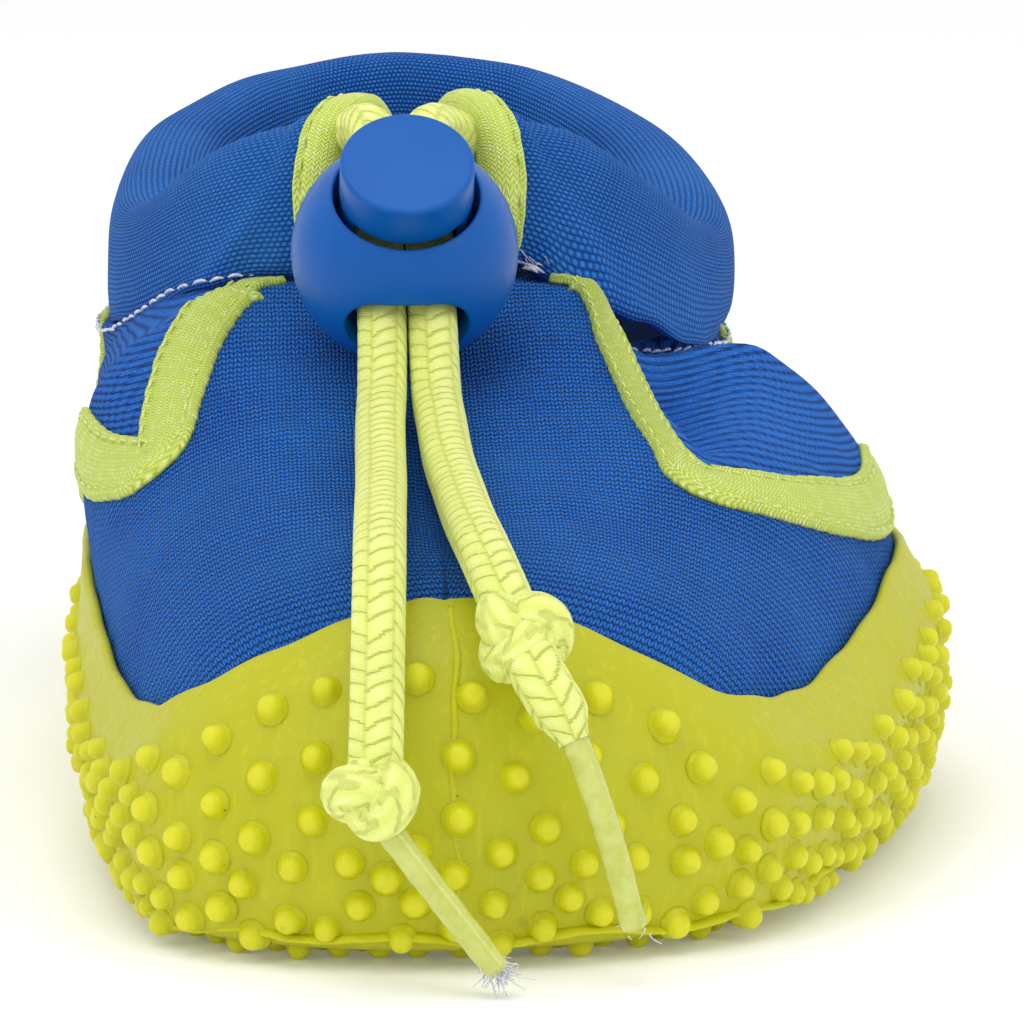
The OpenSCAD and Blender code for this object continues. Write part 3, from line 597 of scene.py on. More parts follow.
def thread_material(name, base, deep):
    m = Nodes(name)
    twist = m.noise(2600, 2, 0.5)
    return m.finish(Base_Color=m.mix(m.span(twist, 0.3, 0.7), deep, base), Roughness=0.6,
                    Sheen_Weight=0.3, Normal=m.bump(twist, 0.00008, 0.7))


def tip_material(name):
    m = Nodes(name)
    wave = m.noise(600, 3, 0.6)
    color = m.mix(m.span(wave, 0.35, 0.65), linear(208, 216, 96), linear(226, 232, 130))
    return m.finish(Base_Color=color, Roughness=0.22, Specular_IOR_Level=0.6,
                    Transmission_Weight=0.25, Subsurface_Weight=0.3, Coat_Weight=0.4,
                    Subsurface_Radius=(0.002, 0.002, 0.001), Subsurface_Scale=0.6,
                    Normal=m.bump(wave, 0.00012, 0.5))


def board_material(name):
    m = Nodes(name)
    fibre = m.noise(1400, 4, 0.7)
    return m.finish(Base_Color=m.mix(fibre, linear(150, 148, 140), linear(205, 203, 196)), Roughness=0.9,
                    Normal=m.bump(fibre, 0.0001, 0.6))


def steel_material(name):
    m = Nodes(name)
    drawn = m.noise(3000, 2, 0.5)
    return m.finish(Base_Color=m.mix(drawn, linear(150, 152, 155), linear(205, 207, 210)), Metallic=1.0,
                    Roughness=m.span(drawn, 0.3, 0.7, 0.22, 0.4), Normal=m.bump(drawn, 0.00002, 0.4))


# second colour: painted olive shade low on and between the nubs, also the random broad tone; third: painted
# highlight on the nubs' tops, also the drawn grain
RUBBER = rubber_material("rubber", linear(214, 213, 16), linear(186, 186, 10), linear(226, 223, 34))
KNIT = knit_material("knit_vamp", linear(6, 96, 202), linear(2, 30, 86), linear(60, 148, 240), rows=0.4,
                     course=0.86, wale=0.66, slant=0.35, depth=0.00036)
KNIT_SIDE = knit_material("knit_quarter", linear(8, 84, 176), linear(4, 44, 108), linear(54, 130, 220),
                          rows=0.85, slant=0.25, wale=0.7, course=0.62)
# medial quarter: the quarter knit a little darker, painted shade for the medial side
KNIT_SIDE_SHADED = knit_material("knit_quarter_medial_shaded", linear(8, 80, 170), linear(4, 42, 104),
                            linear(52, 126, 214), rows=0.85, slant=0.25, wale=0.7, course=0.62)
KNIT_COLLAR = knit_material("knit_collar", linear(22, 108, 204), linear(6, 56, 132), linear(66, 146, 228),
                            course=0.46, wale=0.58, slant=0.1, dots=True, depth=0.00024, rows=0.1)
LINING = knit_material("lining", linear(34, 60, 112), linear(14, 28, 62), linear(70, 96, 150),
                       course=0.5, wale=0.5, depth=0.00007)
SOCK = knit_material("insole_cover", linear(40, 44, 52), linear(16, 18, 24), linear(92, 96, 106),
                     course=0.6, wale=0.6, slant=0.4, depth=0.0001)
# the bindings' tape: a lighter copy of the webbing, painted light to offset the shade the bindings sit in
BINDING_LIGHTENED = tape_material("woven_binding_lightened", linear(226, 242, 116), linear(200, 220, 84), linear(250, 254, 200))
TAPE = tape_material("webbing", linear(206, 222, 92), linear(176, 196, 62), linear(240, 248, 180))
CORD = cord_material("drawcord", linear(238, 246, 134), linear(226, 237, 112), linear(250, 254, 184))
LIME_THREAD = thread_material("thread_lime", linear(224, 236, 132), linear(184, 204, 82))
WHITE_THREAD = thread_material("thread_white", linear(240, 240, 248), linear(176, 182, 204))
PLASTIC = plastic_material("lock_plastic", linear(6, 88, 172), linear(16, 98, 180))
TIP = tip_material("cord_tip")
BOARD = board_material("lasting_board_fibre")
STEEL = steel_material("spring_steel")

# ---- camera: the photograph's place, level height and turn ---------------------------------------
camera = bpy.data.objects.new("camera", bpy.data.cameras.new("camera"))
scene.collection.objects.link(camera)
camera.location = (-0.02607, -0.52452, 0.10312)
camera.rotation_euler = (math.radians(90 - 8.857), 0, math.radians(-2.983))
camera.data.sensor_width = 36.0
camera.data.lens = 210.77
camera.data.clip_start, camera.data.clip_end = 0.01, 50
scene.camera = camera

# ---- drawcord: free ends first -------------------------------------------------------------------
HOLE_DIR = np.array([0, math.cos(LOCK_TILT), math.sin(LOCK_TILT)])


def lock_line(side, reach):
    return LOCK_AT + np.array([side * CORD_D / 2, 0, 0]) + HOLE_DIR * reach


END_LEFT = place([
    [-11.4, 50.5, 37.1], [-11.7, 45, 35.3], [-11.9, 38, 33.9], [-12.1, 30, 32.7], [-12.4, 22, 31.9],
    [-12.7, 14, 30.9], [-12.9, 8.6, 29.2], [-13.1, 4.6, 26], [-13.3, 1.2, 21.8], [-13.5, -2, 18.2],
    [-13.7, -4.3, 15]])
END_RIGHT = place([
    [-6.9, 50.5, 36.9], [-6.7, 45, 35.2], [-6.5, 37, 33.5], [-6, 28, 32.2], [-5.6, 19, 31.4],
    [-4.9, 11, 30.4], [-3.9, 5.6, 28.4], [-2.6, 2, 25.6], [-1.4, -0.9, 23], [0.2, -2.2, 20.4],
    [1.1, -2.9, 18.4]])
TIP_LEFT = place([[-12.4, -5.3, 12], [-4.6, -6.2, 1.9]])
TIP_RIGHT = place([[1.1, -2.9, 18.4], [5.5, -3.6, 4.4]])
KNOT_LEFT = place([-13.7, -4.3, 15])
KNOT_RIGHT = place([-2.6, 2, 25.6])


def braid(path, radius, columns=6, pitch=1.5, relief=0.1, around=48, step=0.14, start_turn=0.0,
          squeeze=None):
    """A round braid: slanted strands in columns that meet in a line of Vs."""
    path, length = resample(path, step)
    _, a, b = frames_along(path)
    n = len(path)
    g = np.linspace(0, 2 * math.pi, around, endpoint=False)
    along = np.linspace(0, length, n)[:, None] * np.ones((1, around))
    column = (g / (2 * math.pi) * columns + start_turn) % columns
    index = np.floor(column)
    x = np.broadcast_to((column - index)[None, :], along.shape)
    odd = np.broadcast_to((index % 2)[None, :], along.shape)
    rise = np.where(odd > 0, x, 1 - x)
    wobble = 0.1 * np.sin(along * 0.9 + 1.3) + 0.05 * np.sin(along * 2.3 + g[None, :] * 2)
    phase = np.mod(along / pitch - rise * 0.8 + 0.5 * odd + wobble, 1)
    strand = np.sin(math.pi * phase) ** 0.55
    dip = np.sin(math.pi * np.clip(x, 0.02, 0.98)) ** 0.4
    tilt = 0.75 + 0.25 * (1 - rise)
    bulge = strand * dip * tilt
    r = radius - relief + relief * bulge
    if squeeze is not None:
        r = r * squeeze(np.linspace(0, 1, n))[:, None]
    pts = path[:, None] + r[..., None] * (a[:, None] * np.cos(g)[None, :, None]
                                          + b[:, None] * np.sin(g)[None, :, None])
    faces = grid_faces(n, around, 0, True, False, True).tolist()
    faces.append(list(range(around)))
    faces.append(list(range((n - 1) * around, n * around))[::-1])
    slope = np.where(odd > 0, 1, -1) * 0.8
    uv = np.stack([phase * pitch + 0 * x, along * 0.5 + slope * x], -1)
    return pts.reshape(-1, 3), faces, uv.reshape(-1, 2), bulge.reshape(-1), path, length


def knot_path(centre, size, turn):
    """A pulled-tight overhand knot: a trefoil line squeezed into a ball."""
    w = np.linspace(0, 2 * math.pi, 361)
    line = np.stack([np.sin(w) + 2 * np.sin(2 * w), np.cos(w) - 2 * np.cos(2 * w), -1.35 * np.sin(3 * w)], 1)
    line *= size / 3
    rot = np.array(Matrix.Rotation(turn[0], 3, "X") @ Matrix.Rotation(turn[1], 3, "Z"))
    return line @ rot.T + centre


def cord_piece(name, path, radius, node, **options):
    v, f, uv, relief, line, length = braid(path, radius, **options)
    # the braid's bulge, stored as relief, sets the cord's painted groove shade and crown highlight
    ob = mesh_object(name, v, f, [CORD], uv=uv, relief=relief)
    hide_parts(node)
    return ob, line, length


CORD_R = CORD_D / 2
for side, name, rest, knot, tip, turn in (
        (-1, "left", END_LEFT, KNOT_LEFT, TIP_LEFT, (0.35, 0.5)),
        (1, "right", END_RIGHT, KNOT_RIGHT, TIP_RIGHT, (0.9, -0.4))):
    route = np.vstack([lock_line(side, 0), lock_line(side, -5), lock_line(side, -9.5), rest])
    cord, line, length = cord_piece("cord_braid_" + name, curve_path(route, 900), CORD_R,
                                    "drawcord_end_" + name, start_turn=0.0 if side < 0 else 0.15,
                                    squeeze=lambda w: 1 - 0.42 * smooth((w - 0.965) / 0.035))
    # the knot: a tight trefoil of the same cord round the standing part
    knot_ob, _, _ = cord_piece("overhand_knot_" + name, knot_path(knot, 2.15, turn), 1.9,
                               "cord_knot_" + name, columns=8, pitch=1.7, relief=0.14, around=28, step=0.2)
    # the heat-shrunk tip, a little crimped, with its melted end
    t = np.linspace(0, 1, 90)
    start = tip[0] - (tip[1] - tip[0]) / np.linalg.norm(tip[1] - tip[0]) * 1.2
    sag = np.sin(math.pi * t)[:, None] * np.array([0.25 * side, 0, 0.3])
    path = start + (tip[1] - start) * t[:, None] + sag
    radii = 1.05 * (1 + 0.02 * np.sin(t * 26 + side) + 0.015 * np.sin(t * 61)) * (1 - 0.06 * t ** 3)
    radii[-3:] *= [0.97, 0.9, 0.72]
    v2, f2 = tube_mesh(path, radii, 20)
    uv2 = np.stack([np.tile(np.linspace(0, 7.2, 20), 90), np.repeat(t * 14, 20)], 1)
    tip_ob = mesh_object("shrunk_tip_" + name, v2, f2, [TIP], "shoe", uv2)
    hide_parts("cord_tip_" + name)

# loose white fibres at the tips' cut ends
rng = np.random.default_rng(5)
for name, tip, count, reach in (("left", TIP_LEFT, 90, 1.5), ("right", TIP_RIGHT, 16, 0.7)):
    d = (tip[1] - tip[0]) / np.linalg.norm(tip[1] - tip[0])
    starts = tip[1] - d * 0.5 + rng.normal(size=(count, 3)) * 0.42
    ways = d + rng.normal(size=(count, 3)) * 0.55
    ways /= np.linalg.norm(ways, axis=1, keepdims=True)
    v, f = fibres(starts, ways, rng.uniform(0.4, 1, count) * reach, 0.055, 3, 0.9)
    v[:, 2] = np.maximum(v[:, 2], 0.05)
    ob = mesh_object("tip_fibres_" + name, v, f, [WHITE_THREAD])

# the loop through the collar
def collar_row(p):
    return open_curve(COLLAR_ROWS, np.clip(from_toe(p) - THROAT, 0, len(COLLAR_ROWS) - 1))


def channel(p):
    r = collar_row(p)
    at = top_point(p) + seam_normal(p) * r[..., 2:3]
    share = 0.72 - 0.13 * np.exp(-((from_toe(p) - 8.3) / 0.8) ** 2)
    at[..., 2] += GAP + r[..., 0] * share
    return at


CHANNEL_FIRST = THROAT + 0.75
lead_lateral = place([[-6.6, 74.2, 56.7], [-5.5, 77.2, 56.5], [-3, 80.2, 55.4]])
lead_medial = place([[-11.6, 74.2, 56.7], [-12.3, 77.2, 56.5], [-13.8, 80.2, 55.4]])
straight = [0, 4, 8, 12]
loop_route = np.vstack([
    [lock_line(1, r) for r in straight], lead_lateral,
    channel(np.linspace(CHANNEL_FIRST, LOOP_N - CHANNEL_FIRST, 27)), lead_medial[::-1],
    [lock_line(-1, r) for r in straight[::-1]]])
cord_piece("cord_braid_loop", curve_path(loop_route, 1600), CORD_R * 0.995, "drawcord_loop",
           around=36, step=0.24)

# ---- outsole -------------------------------------------------------------------------------------
def wall_off(p, z):
    """Distance of the rubber's skin, without its nubs, outwards from the upper."""
    r = loop_row(p)
    depth = r[..., 2] - z
    thick = RIM_T + (WALL_T - RIM_T) * np.clip(depth / 3.5, 0, 1)
    tuck = 1 - np.sqrt(np.maximum(0, 1 - (np.maximum(0, BELLY_Z - z) / BELLY_Z) ** 2))
    return thick + r[..., 6] * smooth(depth / 6) - r[..., 7] * tuck


def wall_point(p, z, extra=0.0):
    p, z, extra = np.broadcast_arrays(np.asarray(p, float), np.asarray(z, float), np.asarray(extra, float))
    off = wall_off(p, z) + extra
    high = skin(p, s_at(p, z), off)
    low = foot_point(p) + foot_normal(p) * off[..., None]
    low[..., 2] = z
    return np.where((z >= BASE_Z)[..., None], high, low)


N_ROUND = 480
round_p = np.linspace(0, LOOP_N, N_ROUND, endpoint=False)
rim_z = loop_row(round_p)[:, 2] + 0.22 * np.sin(round_p * 7.1) * np.sin(round_p * 2.3)
UNDER_Z = NUB_H + 0.1
rings = []
# inside the cup, up to the rounded rim, down the wall, and in under the sole
for d in (5.0, 2.5, 0.6):
    rings.append(skin(round_p, s_at(round_p, rim_z - d), 0.06))
for off, lift in ((0.14, 0.12), (0.42, 0.3), (0.72, 0.22)):
    base = skin(round_p, s_at(round_p, rim_z), off)
    base[:, 2] += lift
    rings.append(base)
for w in np.linspace(0, 1, 34):
    z = rim_z * (1 - w) + (UNDER_Z + 0.75) * w
    pts = wall_point(round_p, z)
    lump = noise3(pts, 9, 11) * 0.16 * smooth((rim_z - z) / 6)
    out = foot_normal(round_p)
    rings.append(pts + out * lump[:, None])
edge = wall_point(round_p, UNDER_Z + 0.28, -0.35)
rings.append(edge)
edge = wall_point(round_p, UNDER_Z, -0.9)
edge[:, 2] = UNDER_Z
rings.append(edge)
partner = (-np.arange(N_ROUND)) % N_ROUND
middle = (edge + edge[partner]) / 2
for w in (0.12, 0.3, 0.5, 0.7, 0.88, 1.0):
    ring = edge * (1 - w) + middle * w
    ring[:, 2] = UNDER_Z + 0.12 * noise3(ring, 14, 4) * (w < 1)
    rings.append(ring)
grid = np.stack(rings, 1)
n, m = grid.shape[:2]
faces = grid_faces(n, m, 0, False, True, False).tolist()
verts = grid.reshape(-1, 3)
# the cup's inner floor closes the skin
floor = skin(round_p, s_at(round_p, np.full(N_ROUND, BASE_Z + 0.05)), 0.0)
floor[:, 2] = BASE_Z - 0.1
first_floor = len(verts)
verts = np.vstack([verts, floor])
for i in range(N_ROUND):
    j = (i + 1) % N_ROUND
    faces.append([i * m, first_floor + i, first_floor + j, j * m])
for i in range(N_ROUND // 2):
    a, b2 = i, i + 1
    c, d = (-b2) % N_ROUND, (-a) % N_ROUND
    quad = [first_floor + k for k in dict.fromkeys([a, b2, c, d])]
    if len(quad) > 2:
        faces.append(quad[::-1])
# the skin has no relief attribute, so it reads 0 and takes the rubber's painted olive shade all over
sole = mesh_object("outsole_skin", verts, faces, [RUBBER])
weld(sole.data)
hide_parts("outsole")


def nub_template(radius, around, profile):
    """One nub, a millimetre high."""
    verts, faces = [], []
    for k, (r, h) in enumerate(profile):
        for g in range(around):
            a = 2 * math.pi * (g + 0.5 * (k % 2)) / around
            verts.append([r * radius * math.cos(a), r * radius * math.sin(a), h])
    for k in range(len(profile) - 1):
        for g in range(around):
            g2 = (g + 1) % around
            a, b, c, d = (k * around + g, k * around + g2, (k + 1) * around + g2, (k + 1) * around + g)
            faces.append([a, b, c, d])
    faces.append(list(range((len(profile) - 1) * around, len(profile) * around)))
    faces.append(list(range(around))[::-1])
    return np.array(verts), faces


def scatter(template, spots, normals, sizes, heights):
    tv, tf = template
    up = normals / np.linalg.norm(normals, axis=1, keepdims=True)
    a = np.cross(up, np.where(np.abs(up[:, 2:3]) < 0.8, [[0, 0, 1.0]], [[0, 1.0, 0]]))
    a /= np.linalg.norm(a, axis=1, keepdims=True)
    b = np.cross(up, a)
    pts = (spots[:, None] + a[:, None] * (tv[None, :, 0:1] * sizes[:, None, None])
           + b[:, None] * (tv[None, :, 1:2] * sizes[:, None, None])
           + up[:, None] * (tv[None, :, 2:3] * heights[:, None, None]))
    count = len(tv)
    faces = [[i * count + k for k in f] for i in range(len(spots)) for f in tf]
    return pts.reshape(-1, 3), faces


# wall nubs: sparse on the toe's front, dense at the sides and low down
rng = np.random.default_rng(21)
table_p = np.linspace(0, LOOP_N, 961)
mid = wall_point(table_p, 10.0)
length_at = arc_lengths(mid)
tries = 26000
cand_p = np.interp(rng.uniform(0, length_at[-1], tries), length_at, table_p)
cand_rim = loop_row(cand_p)[:, 2]
cand_z = 1.9 + rng.uniform(0, 1, tries) * (cand_rim - 4.4 - 1.9)
front = 1 - smooth((from_toe(cand_p) - 1.6) / 1.4)
high = smooth((cand_z - 6) / 5)
spacing = 2.5 + 1.35 * front * high + 0.2 * high + 0.25 * front
order = np.argsort(-spacing * rng.uniform(0.93, 1.0, tries))
cand = wall_point(cand_p, cand_z)
kept = np.empty((0, 3))
kept_ids = []
for i in order:
    if len(kept_ids) and np.min(np.sum((kept - cand[i]) ** 2, axis=1)) < spacing[i] ** 2:
        continue
    kept = np.vstack([kept, cand[i]])
    kept_ids.append(i)
kept_ids = np.array(kept_ids)
np_, nz = cand_p[kept_ids], cand_z[kept_ids]
dp = wall_point(np_ + 0.02, nz) - wall_point(np_ - 0.02, nz)
dz = wall_point(np_, nz + 0.15) - wall_point(np_, nz - 0.15)
normal = np.cross(dp, dz)
spots = cand[kept_ids] + noise3(cand[kept_ids], 9, 11)[:, None] * 0.16 * foot_normal(np_)
round_profile = [(1.34, -0.3), (1.28, 0.0), (1.1, 0.12), (0.97, 0.36), (0.86, 0.66), (0.64, 0.89),
                 (0.32, 1.0)]
size = rng.uniform(0.92, 1.1, len(spots)) * (1.02 + 0.12 * front[kept_ids])
height = rng.uniform(0.85, 1.08, len(spots)) * (1.0 + 0.12 * front[kept_ids])
template = nub_template(0.9, 12, round_profile)
v, f = scatter(template, spots, normal, size, height * NUB_H)
v[:, 2] = np.maximum(v[:, 2], 0.0)
# relief paints shade at each nub's root (0.15) rising to a painted highlight at its top (0.9)
nubs = mesh_object("outsole_wall_nubs", v, f, [RUBBER],
                   relief=np.tile(0.15 + 0.75 * np.clip(template[0][:, 2], 0, 1), len(spots)))

def inside_outline(q, loop):
    x, y = q[:, 0:1], q[:, 1:2]
    x0, y0 = loop[:, 0][None], loop[:, 1][None]
    x1, y1 = np.roll(loop[:, 0], -1)[None], np.roll(loop[:, 1], -1)[None]
    cross = ((y0 > y) != (y1 > y)) & (x < (x1 - x0) * (y - y0) / (y1 - y0 + 1e-12) + x0)
    return cross.sum(1) % 2 == 1


# tread nubs in a jittered staggered grid under the sole
pitch = 3.05
gy = np.arange(-90, 90, pitch * 0.87)
lattice = np.array([[x + (k % 2) * pitch / 2, y] for k, y in enumerate(gy)
                    for x in np.arange(-42, 42, pitch)])
lattice += rng.uniform(-0.3, 0.3, lattice.shape)
shrunk = edge[:, :2] - foot_normal(round_p)[:, :2] * 0.9
lattice = lattice[inside_outline(lattice, shrunk)]
spots = np.column_stack([lattice, np.full(len(lattice), UNDER_Z + 0.05)])
low_profile = [(1.3, -0.1), (1.05, 0.15), (0.9, 0.6), (0.6, 0.9), (0.3, 1.0)]
template = nub_template(1.05, 9, low_profile)
v, f = scatter(template, spots, np.tile([0, 0, -1.0], (len(spots), 1)),
               rng.uniform(0.92, 1.08, len(spots)), rng.uniform(1.2, 1.32, len(spots)))
v[:, 2] = np.maximum(v[:, 2], 0.0)
# relief paints shade at each tread nub's root and a painted highlight at its tip
tread = mesh_object("outsole_tread_nubs", v, f, [RUBBER],
                    relief=np.tile(np.clip(template[0][:, 2], 0, 1), len(spots)))

# parting ridge up the toe, and the mould's thin flash round the front's lower edge
t = np.linspace(0, 1, 70)
ridge_z = 2.2 + (25.6 - 2.2) * t
line = wall_point(np.zeros_like(t), ridge_z)
line[:, 0] += 0.25 * np.sin(t * 9) + 0.1 * np.sin(t * 31)
out = np.array([0, -1.0, 0.12])
ridge_pts = np.stack([line + np.array([dx, 0, 0]) + out * h for dx, h in
                      ((-0.4, -0.3), (-0.22, 0.0), (-0.08, 0.2), (0.08, 0.2), (0.24, 0.0), (0.4, -0.3))], 1)
f = grid_faces(70, 6, 0, True, False, True).tolist()
f += [list(range(6)), list(range(69 * 6, 70 * 6))[::-1]]
# a fixed low relief gives the ridge a painted shadow colour
ridge = mesh_object("outsole_parting_ridge", ridge_pts.reshape(-1, 3), f, [RUBBER],
                    relief=np.full(ridge_pts.size // 3, 0.2))
flash_p = np.linspace(-3.4, 3.4, 420)
wavy = (1.5 + 0.7 * noise3(np.stack([flash_p * 12, 0 * flash_p, 0 * flash_p], -1), 11, 8)
        + 0.25 * np.sin(flash_p * 23))
flash_z = 2.9 + 0.9 * noise3(np.stack([flash_p * 12, 0 * flash_p, 0 * flash_p], -1), 16, 9)
root = wall_point(flash_p, flash_z - 0.1, -0.4)
outer = wall_point(flash_p, flash_z - 0.5, np.clip(wavy * 0.6 - 0.25, 0.05, 0.8))
flat = lambda q, dz: q + np.array([0, 0, dz])
flash_pts = np.stack([flat(root, 0.3), flat(outer, 0.06), flat(outer, -0.12), flat(root, -0.35)], 1)
flash_pts[..., 2] = np.maximum(flash_pts[..., 2], 0.02)
f = grid_faces(420, 4, 0, False, False, True).tolist()
f += [list(range(4))[::-1], list(range(419 * 4, 420 * 4))]
# relief 0.45 gives the flash lip a little painted shade
flash = mesh_object("outsole_flash_lip", flash_pts.reshape(-1, 3), f, [RUBBER],
                    relief=np.full(flash_pts.size // 3, 0.45))

# ---- the knit panels -----------------------------------------------------------------------------
def front_s(sign, q):
    return line_s(FRONT_LINES[sign], q)


def low_s(sign, q):
    corner_q, corner_s = LOW_LINES[sign][0]
    toe = TOE_S + (corner_s - TOE_S) * q / corner_q
    low = np.where(q <= LOW_LINES[sign][-1][0], line_s(LOW_LINES[sign], q),
                   np.minimum(1, line_s(TAPE_REAR, q)))
    return np.where(q <= corner_q, toe, low)


def ridge_height(y):
    return np.interp(y + SOLE_L / 2, RIDGE_ROWS[:, 0], RIDGE_ROWS[:, 1])


def waves(pts):
    """The knit's soft undulation over the foam, at two scales."""
    return 0.16 * noise3(pts, 17, 2) + 0.06 * noise3(pts, 6, 6)


def weld_patches(name, patches, materials, node):
    """Patches as one closed thin solid: shared edges are welded and the free ones are walled."""
    bm = bmesh.new()
    layer = bm.loops.layers.uv.new("UVMap")
    for sign, outer, inner, uv in patches:
        n, m = outer.shape[:2]
        for pts, flip, slot_id in ((outer, sign < 0, 0), (inner, sign > 0, 1)):
            vs = [bm.verts.new(c) for c in (pts.reshape(-1, 3) * MM).tolist()]
            flat_uv = uv.reshape(-1, 2)
            for q in grid_faces(n, m, 0, flip).tolist():
                if len({vs[k] for k in q}) < 4:
                    continue
                face = bm.faces.new([vs[k] for k in q])
                face.smooth = True
                face.material_index = slot_id
                for loop, k in zip(face.loops, q):
                    loop[layer].uv = flat_uv[k]
    bmesh.ops.remove_doubles(bm, verts=bm.verts, dist=4e-6)
    edge_pairs = [e for e in bm.edges if len(e.link_faces) == 1]
    if edge_pairs:
        bmesh.ops.bridge_loops(bm, edges=edge_pairs)
    bmesh.ops.recalc_face_normals(bm, faces=bm.faces)
    me = bpy.data.meshes.new(name)
    bm.to_mesh(me)
    bm.free()
    for mat in materials:
        me.materials.append(mat)
    ob = bpy.data.objects.new(name, me)
    scene.collection.objects.link(ob)
    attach(ob, "shoe")
    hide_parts(node)


def vamp_uv(pts):
    x, y, z = pts[..., 0], pts[..., 1], pts[..., 2]
    drop = np.maximum(0, ridge_height(y) - z)
    u = (x - RIDGE_X) + np.where(x >= RIDGE_X, 0.8, -0.8) * drop
    return np.stack([u, y + 0.3 * z], -1)


def side_uv(pts):
    """Rows that run level along the side."""
    level = pts[..., 2] + 0.33 * np.abs(pts[..., 0] + 7.6)
    return np.stack([pts[..., 1] + 0.4 * pts[..., 0], level * 1.25], -1)


zero = lambda q: np.zeros_like(q)
one = lambda q: np.ones_like(q)
FRONT_END, CORNER_REAR, REAR_END = 6.9, 7.8, 9.3
# one grid of columns for both sides at the ridge
RIDGE_Q = np.concatenate([np.linspace(0, 3.95, 66)[:-1], np.linspace(3.95, 4.8, 15)[:-1],
                          np.linspace(4.8, THROAT, 20)])


def patch_at(sign, q, s0, s1, per_col, uv_of):
    low, high = s0(q), s1(q)
    s = low[:, None] + (high - low)[:, None] * np.linspace(0, 1, per_col + 1)[None, :]
    p = np.broadcast_to((q if sign > 0 else LOOP_N - q)[:, None], s.shape)
    base = skin(p, s)
    edge_fade = smooth(s / 0.05)
    edge_fade = edge_fade * np.where((q >= THROAT)[:, None], smooth((1 - s) / 0.08), 1)
    off = waves(base) * edge_fade
    drop = seat(p, s)
    return sign, skin(p, s, off - drop), skin(p, s, -UPPER_T - drop), uv_of(base)


def columns(a, b2):
    """Places round the shoe from a to b2: the ridge's own up to the throat, then even ones."""
    step = 0.055
    inner = RIDGE_Q[(RIDGE_Q > a + 1e-6) & (RIDGE_Q < min(b2, THROAT) - 1e-6)]
    out = [a, *inner]
    start = max(a, THROAT)
    if b2 > THROAT:
        out += list(np.linspace(start, b2, max(2, int((b2 - start) / step)))[(1 if a >= THROAT else 0):])
    else:
        out.append(b2)
    return np.array(sorted(set(np.round(out, 9))))


vamp_parts = []
for sign in (1, -1):
    corner = LOW_LINES[sign][0][0]
    low = lambda q, sign=sign: low_s(sign, q)
    front_line = lambda q, sign=sign: front_s(sign, q)
    vamp_parts += [
        patch_at(sign, columns(0, corner), zero, low, 34, vamp_uv),
        patch_at(sign, columns(0, corner), low, one, 30, vamp_uv),
        patch_at(sign, columns(corner, THROAT), front_line, one, 30, vamp_uv),
        patch_at(sign, columns(THROAT, FRONT_END), front_line, one, 30, vamp_uv),
        patch_at(sign, columns(corner, CORNER_REAR), zero, low, 34, vamp_uv),
    ]
weld_patches("vamp_knit", vamp_parts, [KNIT, LINING], "vamp")
for sign, name, mat in ((1, "lateral", KNIT_SIDE), (-1, "medial", KNIT_SIDE_SHADED)):
    corner = LOW_LINES[sign][0][0]
    low = lambda q, sign=sign: low_s(sign, q)
    front_line = lambda q, sign=sign: front_s(sign, q)
    parts = [
        patch_at(sign, columns(corner, THROAT)[1:], low, front_line, 34, side_uv),
        patch_at(sign, columns(THROAT, FRONT_END), low, front_line, 34, side_uv),
        patch_at(sign, columns(FRONT_END, CORNER_REAR), low, one, 34, side_uv),
        patch_at(sign, columns(CORNER_REAR, REAR_END - 0.06), low, one, 34, side_uv),
    ]
    weld_patches("quarter_%s_knit" % name, parts, [mat, LINING], "quarter_" + name)
heel_parts = []
for sign in (1, -1):
    low = lambda q, sign=sign: low_s(sign, q)
    heel_parts += [
        patch_at(sign, columns(CORNER_REAR, REAR_END), zero, low, 40, side_uv),
        patch_at(sign, columns(REAR_END, SIDE_N), zero, one, 40, side_uv),
    ]
weld_patches("heel_knit", heel_parts, [KNIT_SIDE, LINING], "heel_panel")


# ---- trim tapes with their stitches --------------------------------------------------------------
def surface_frame(p, s):
    """Unit vectors on the upper: outwards, and the two slopes for moving over it."""
    d = 0.01
    a = (skin(p + d, s) - skin(p - d, s)) / (2 * d)
    lo, hi = np.clip(s - d, 0, 1), np.clip(s + d, 0, 1)
    b2 = (skin(p, hi) - skin(p, lo)) / (hi - lo)[..., None]
    n = np.cross(a, b2)
    return n / np.linalg.norm(n, axis=-1, keepdims=True), a, b2


def slid(p, s, v):
    _, a, b2 = surface_frame(p, s)
    aa, bb, ab = (a * a).sum(-1), (b2 * b2).sum(-1), (a * b2).sum(-1)
    va, vb = (v * a).sum(-1), (v * b2).sum(-1)
    det = aa * bb - ab * ab
    return p + (va * bb - vb * ab) / det, s + (vb * aa - va * ab) / det


def tape_line(sign, count):
    front_pts, low_pts = FRONT_LINES[sign], LOW_LINES[sign]
    route = np.array(front_pts[::-1] + low_pts[1:] + TAPE_REAR[1:], float)
    route[0] = route[1] + np.array([0.3, 0.16])
    c = open_curve(route, np.linspace(0, len(route) - 1, 1500))
    p = c[:, 0] if sign > 0 else LOOP_N - c[:, 0]
    s = c[:, 1]
    p, s = p[s < 0.87], s[s < 0.87]
    pts = skin(p, s)
    d = arc_lengths(pts)
    at = np.linspace(0, d[-1], count)
    return np.interp(at, d, p), np.interp(at, d, s), at


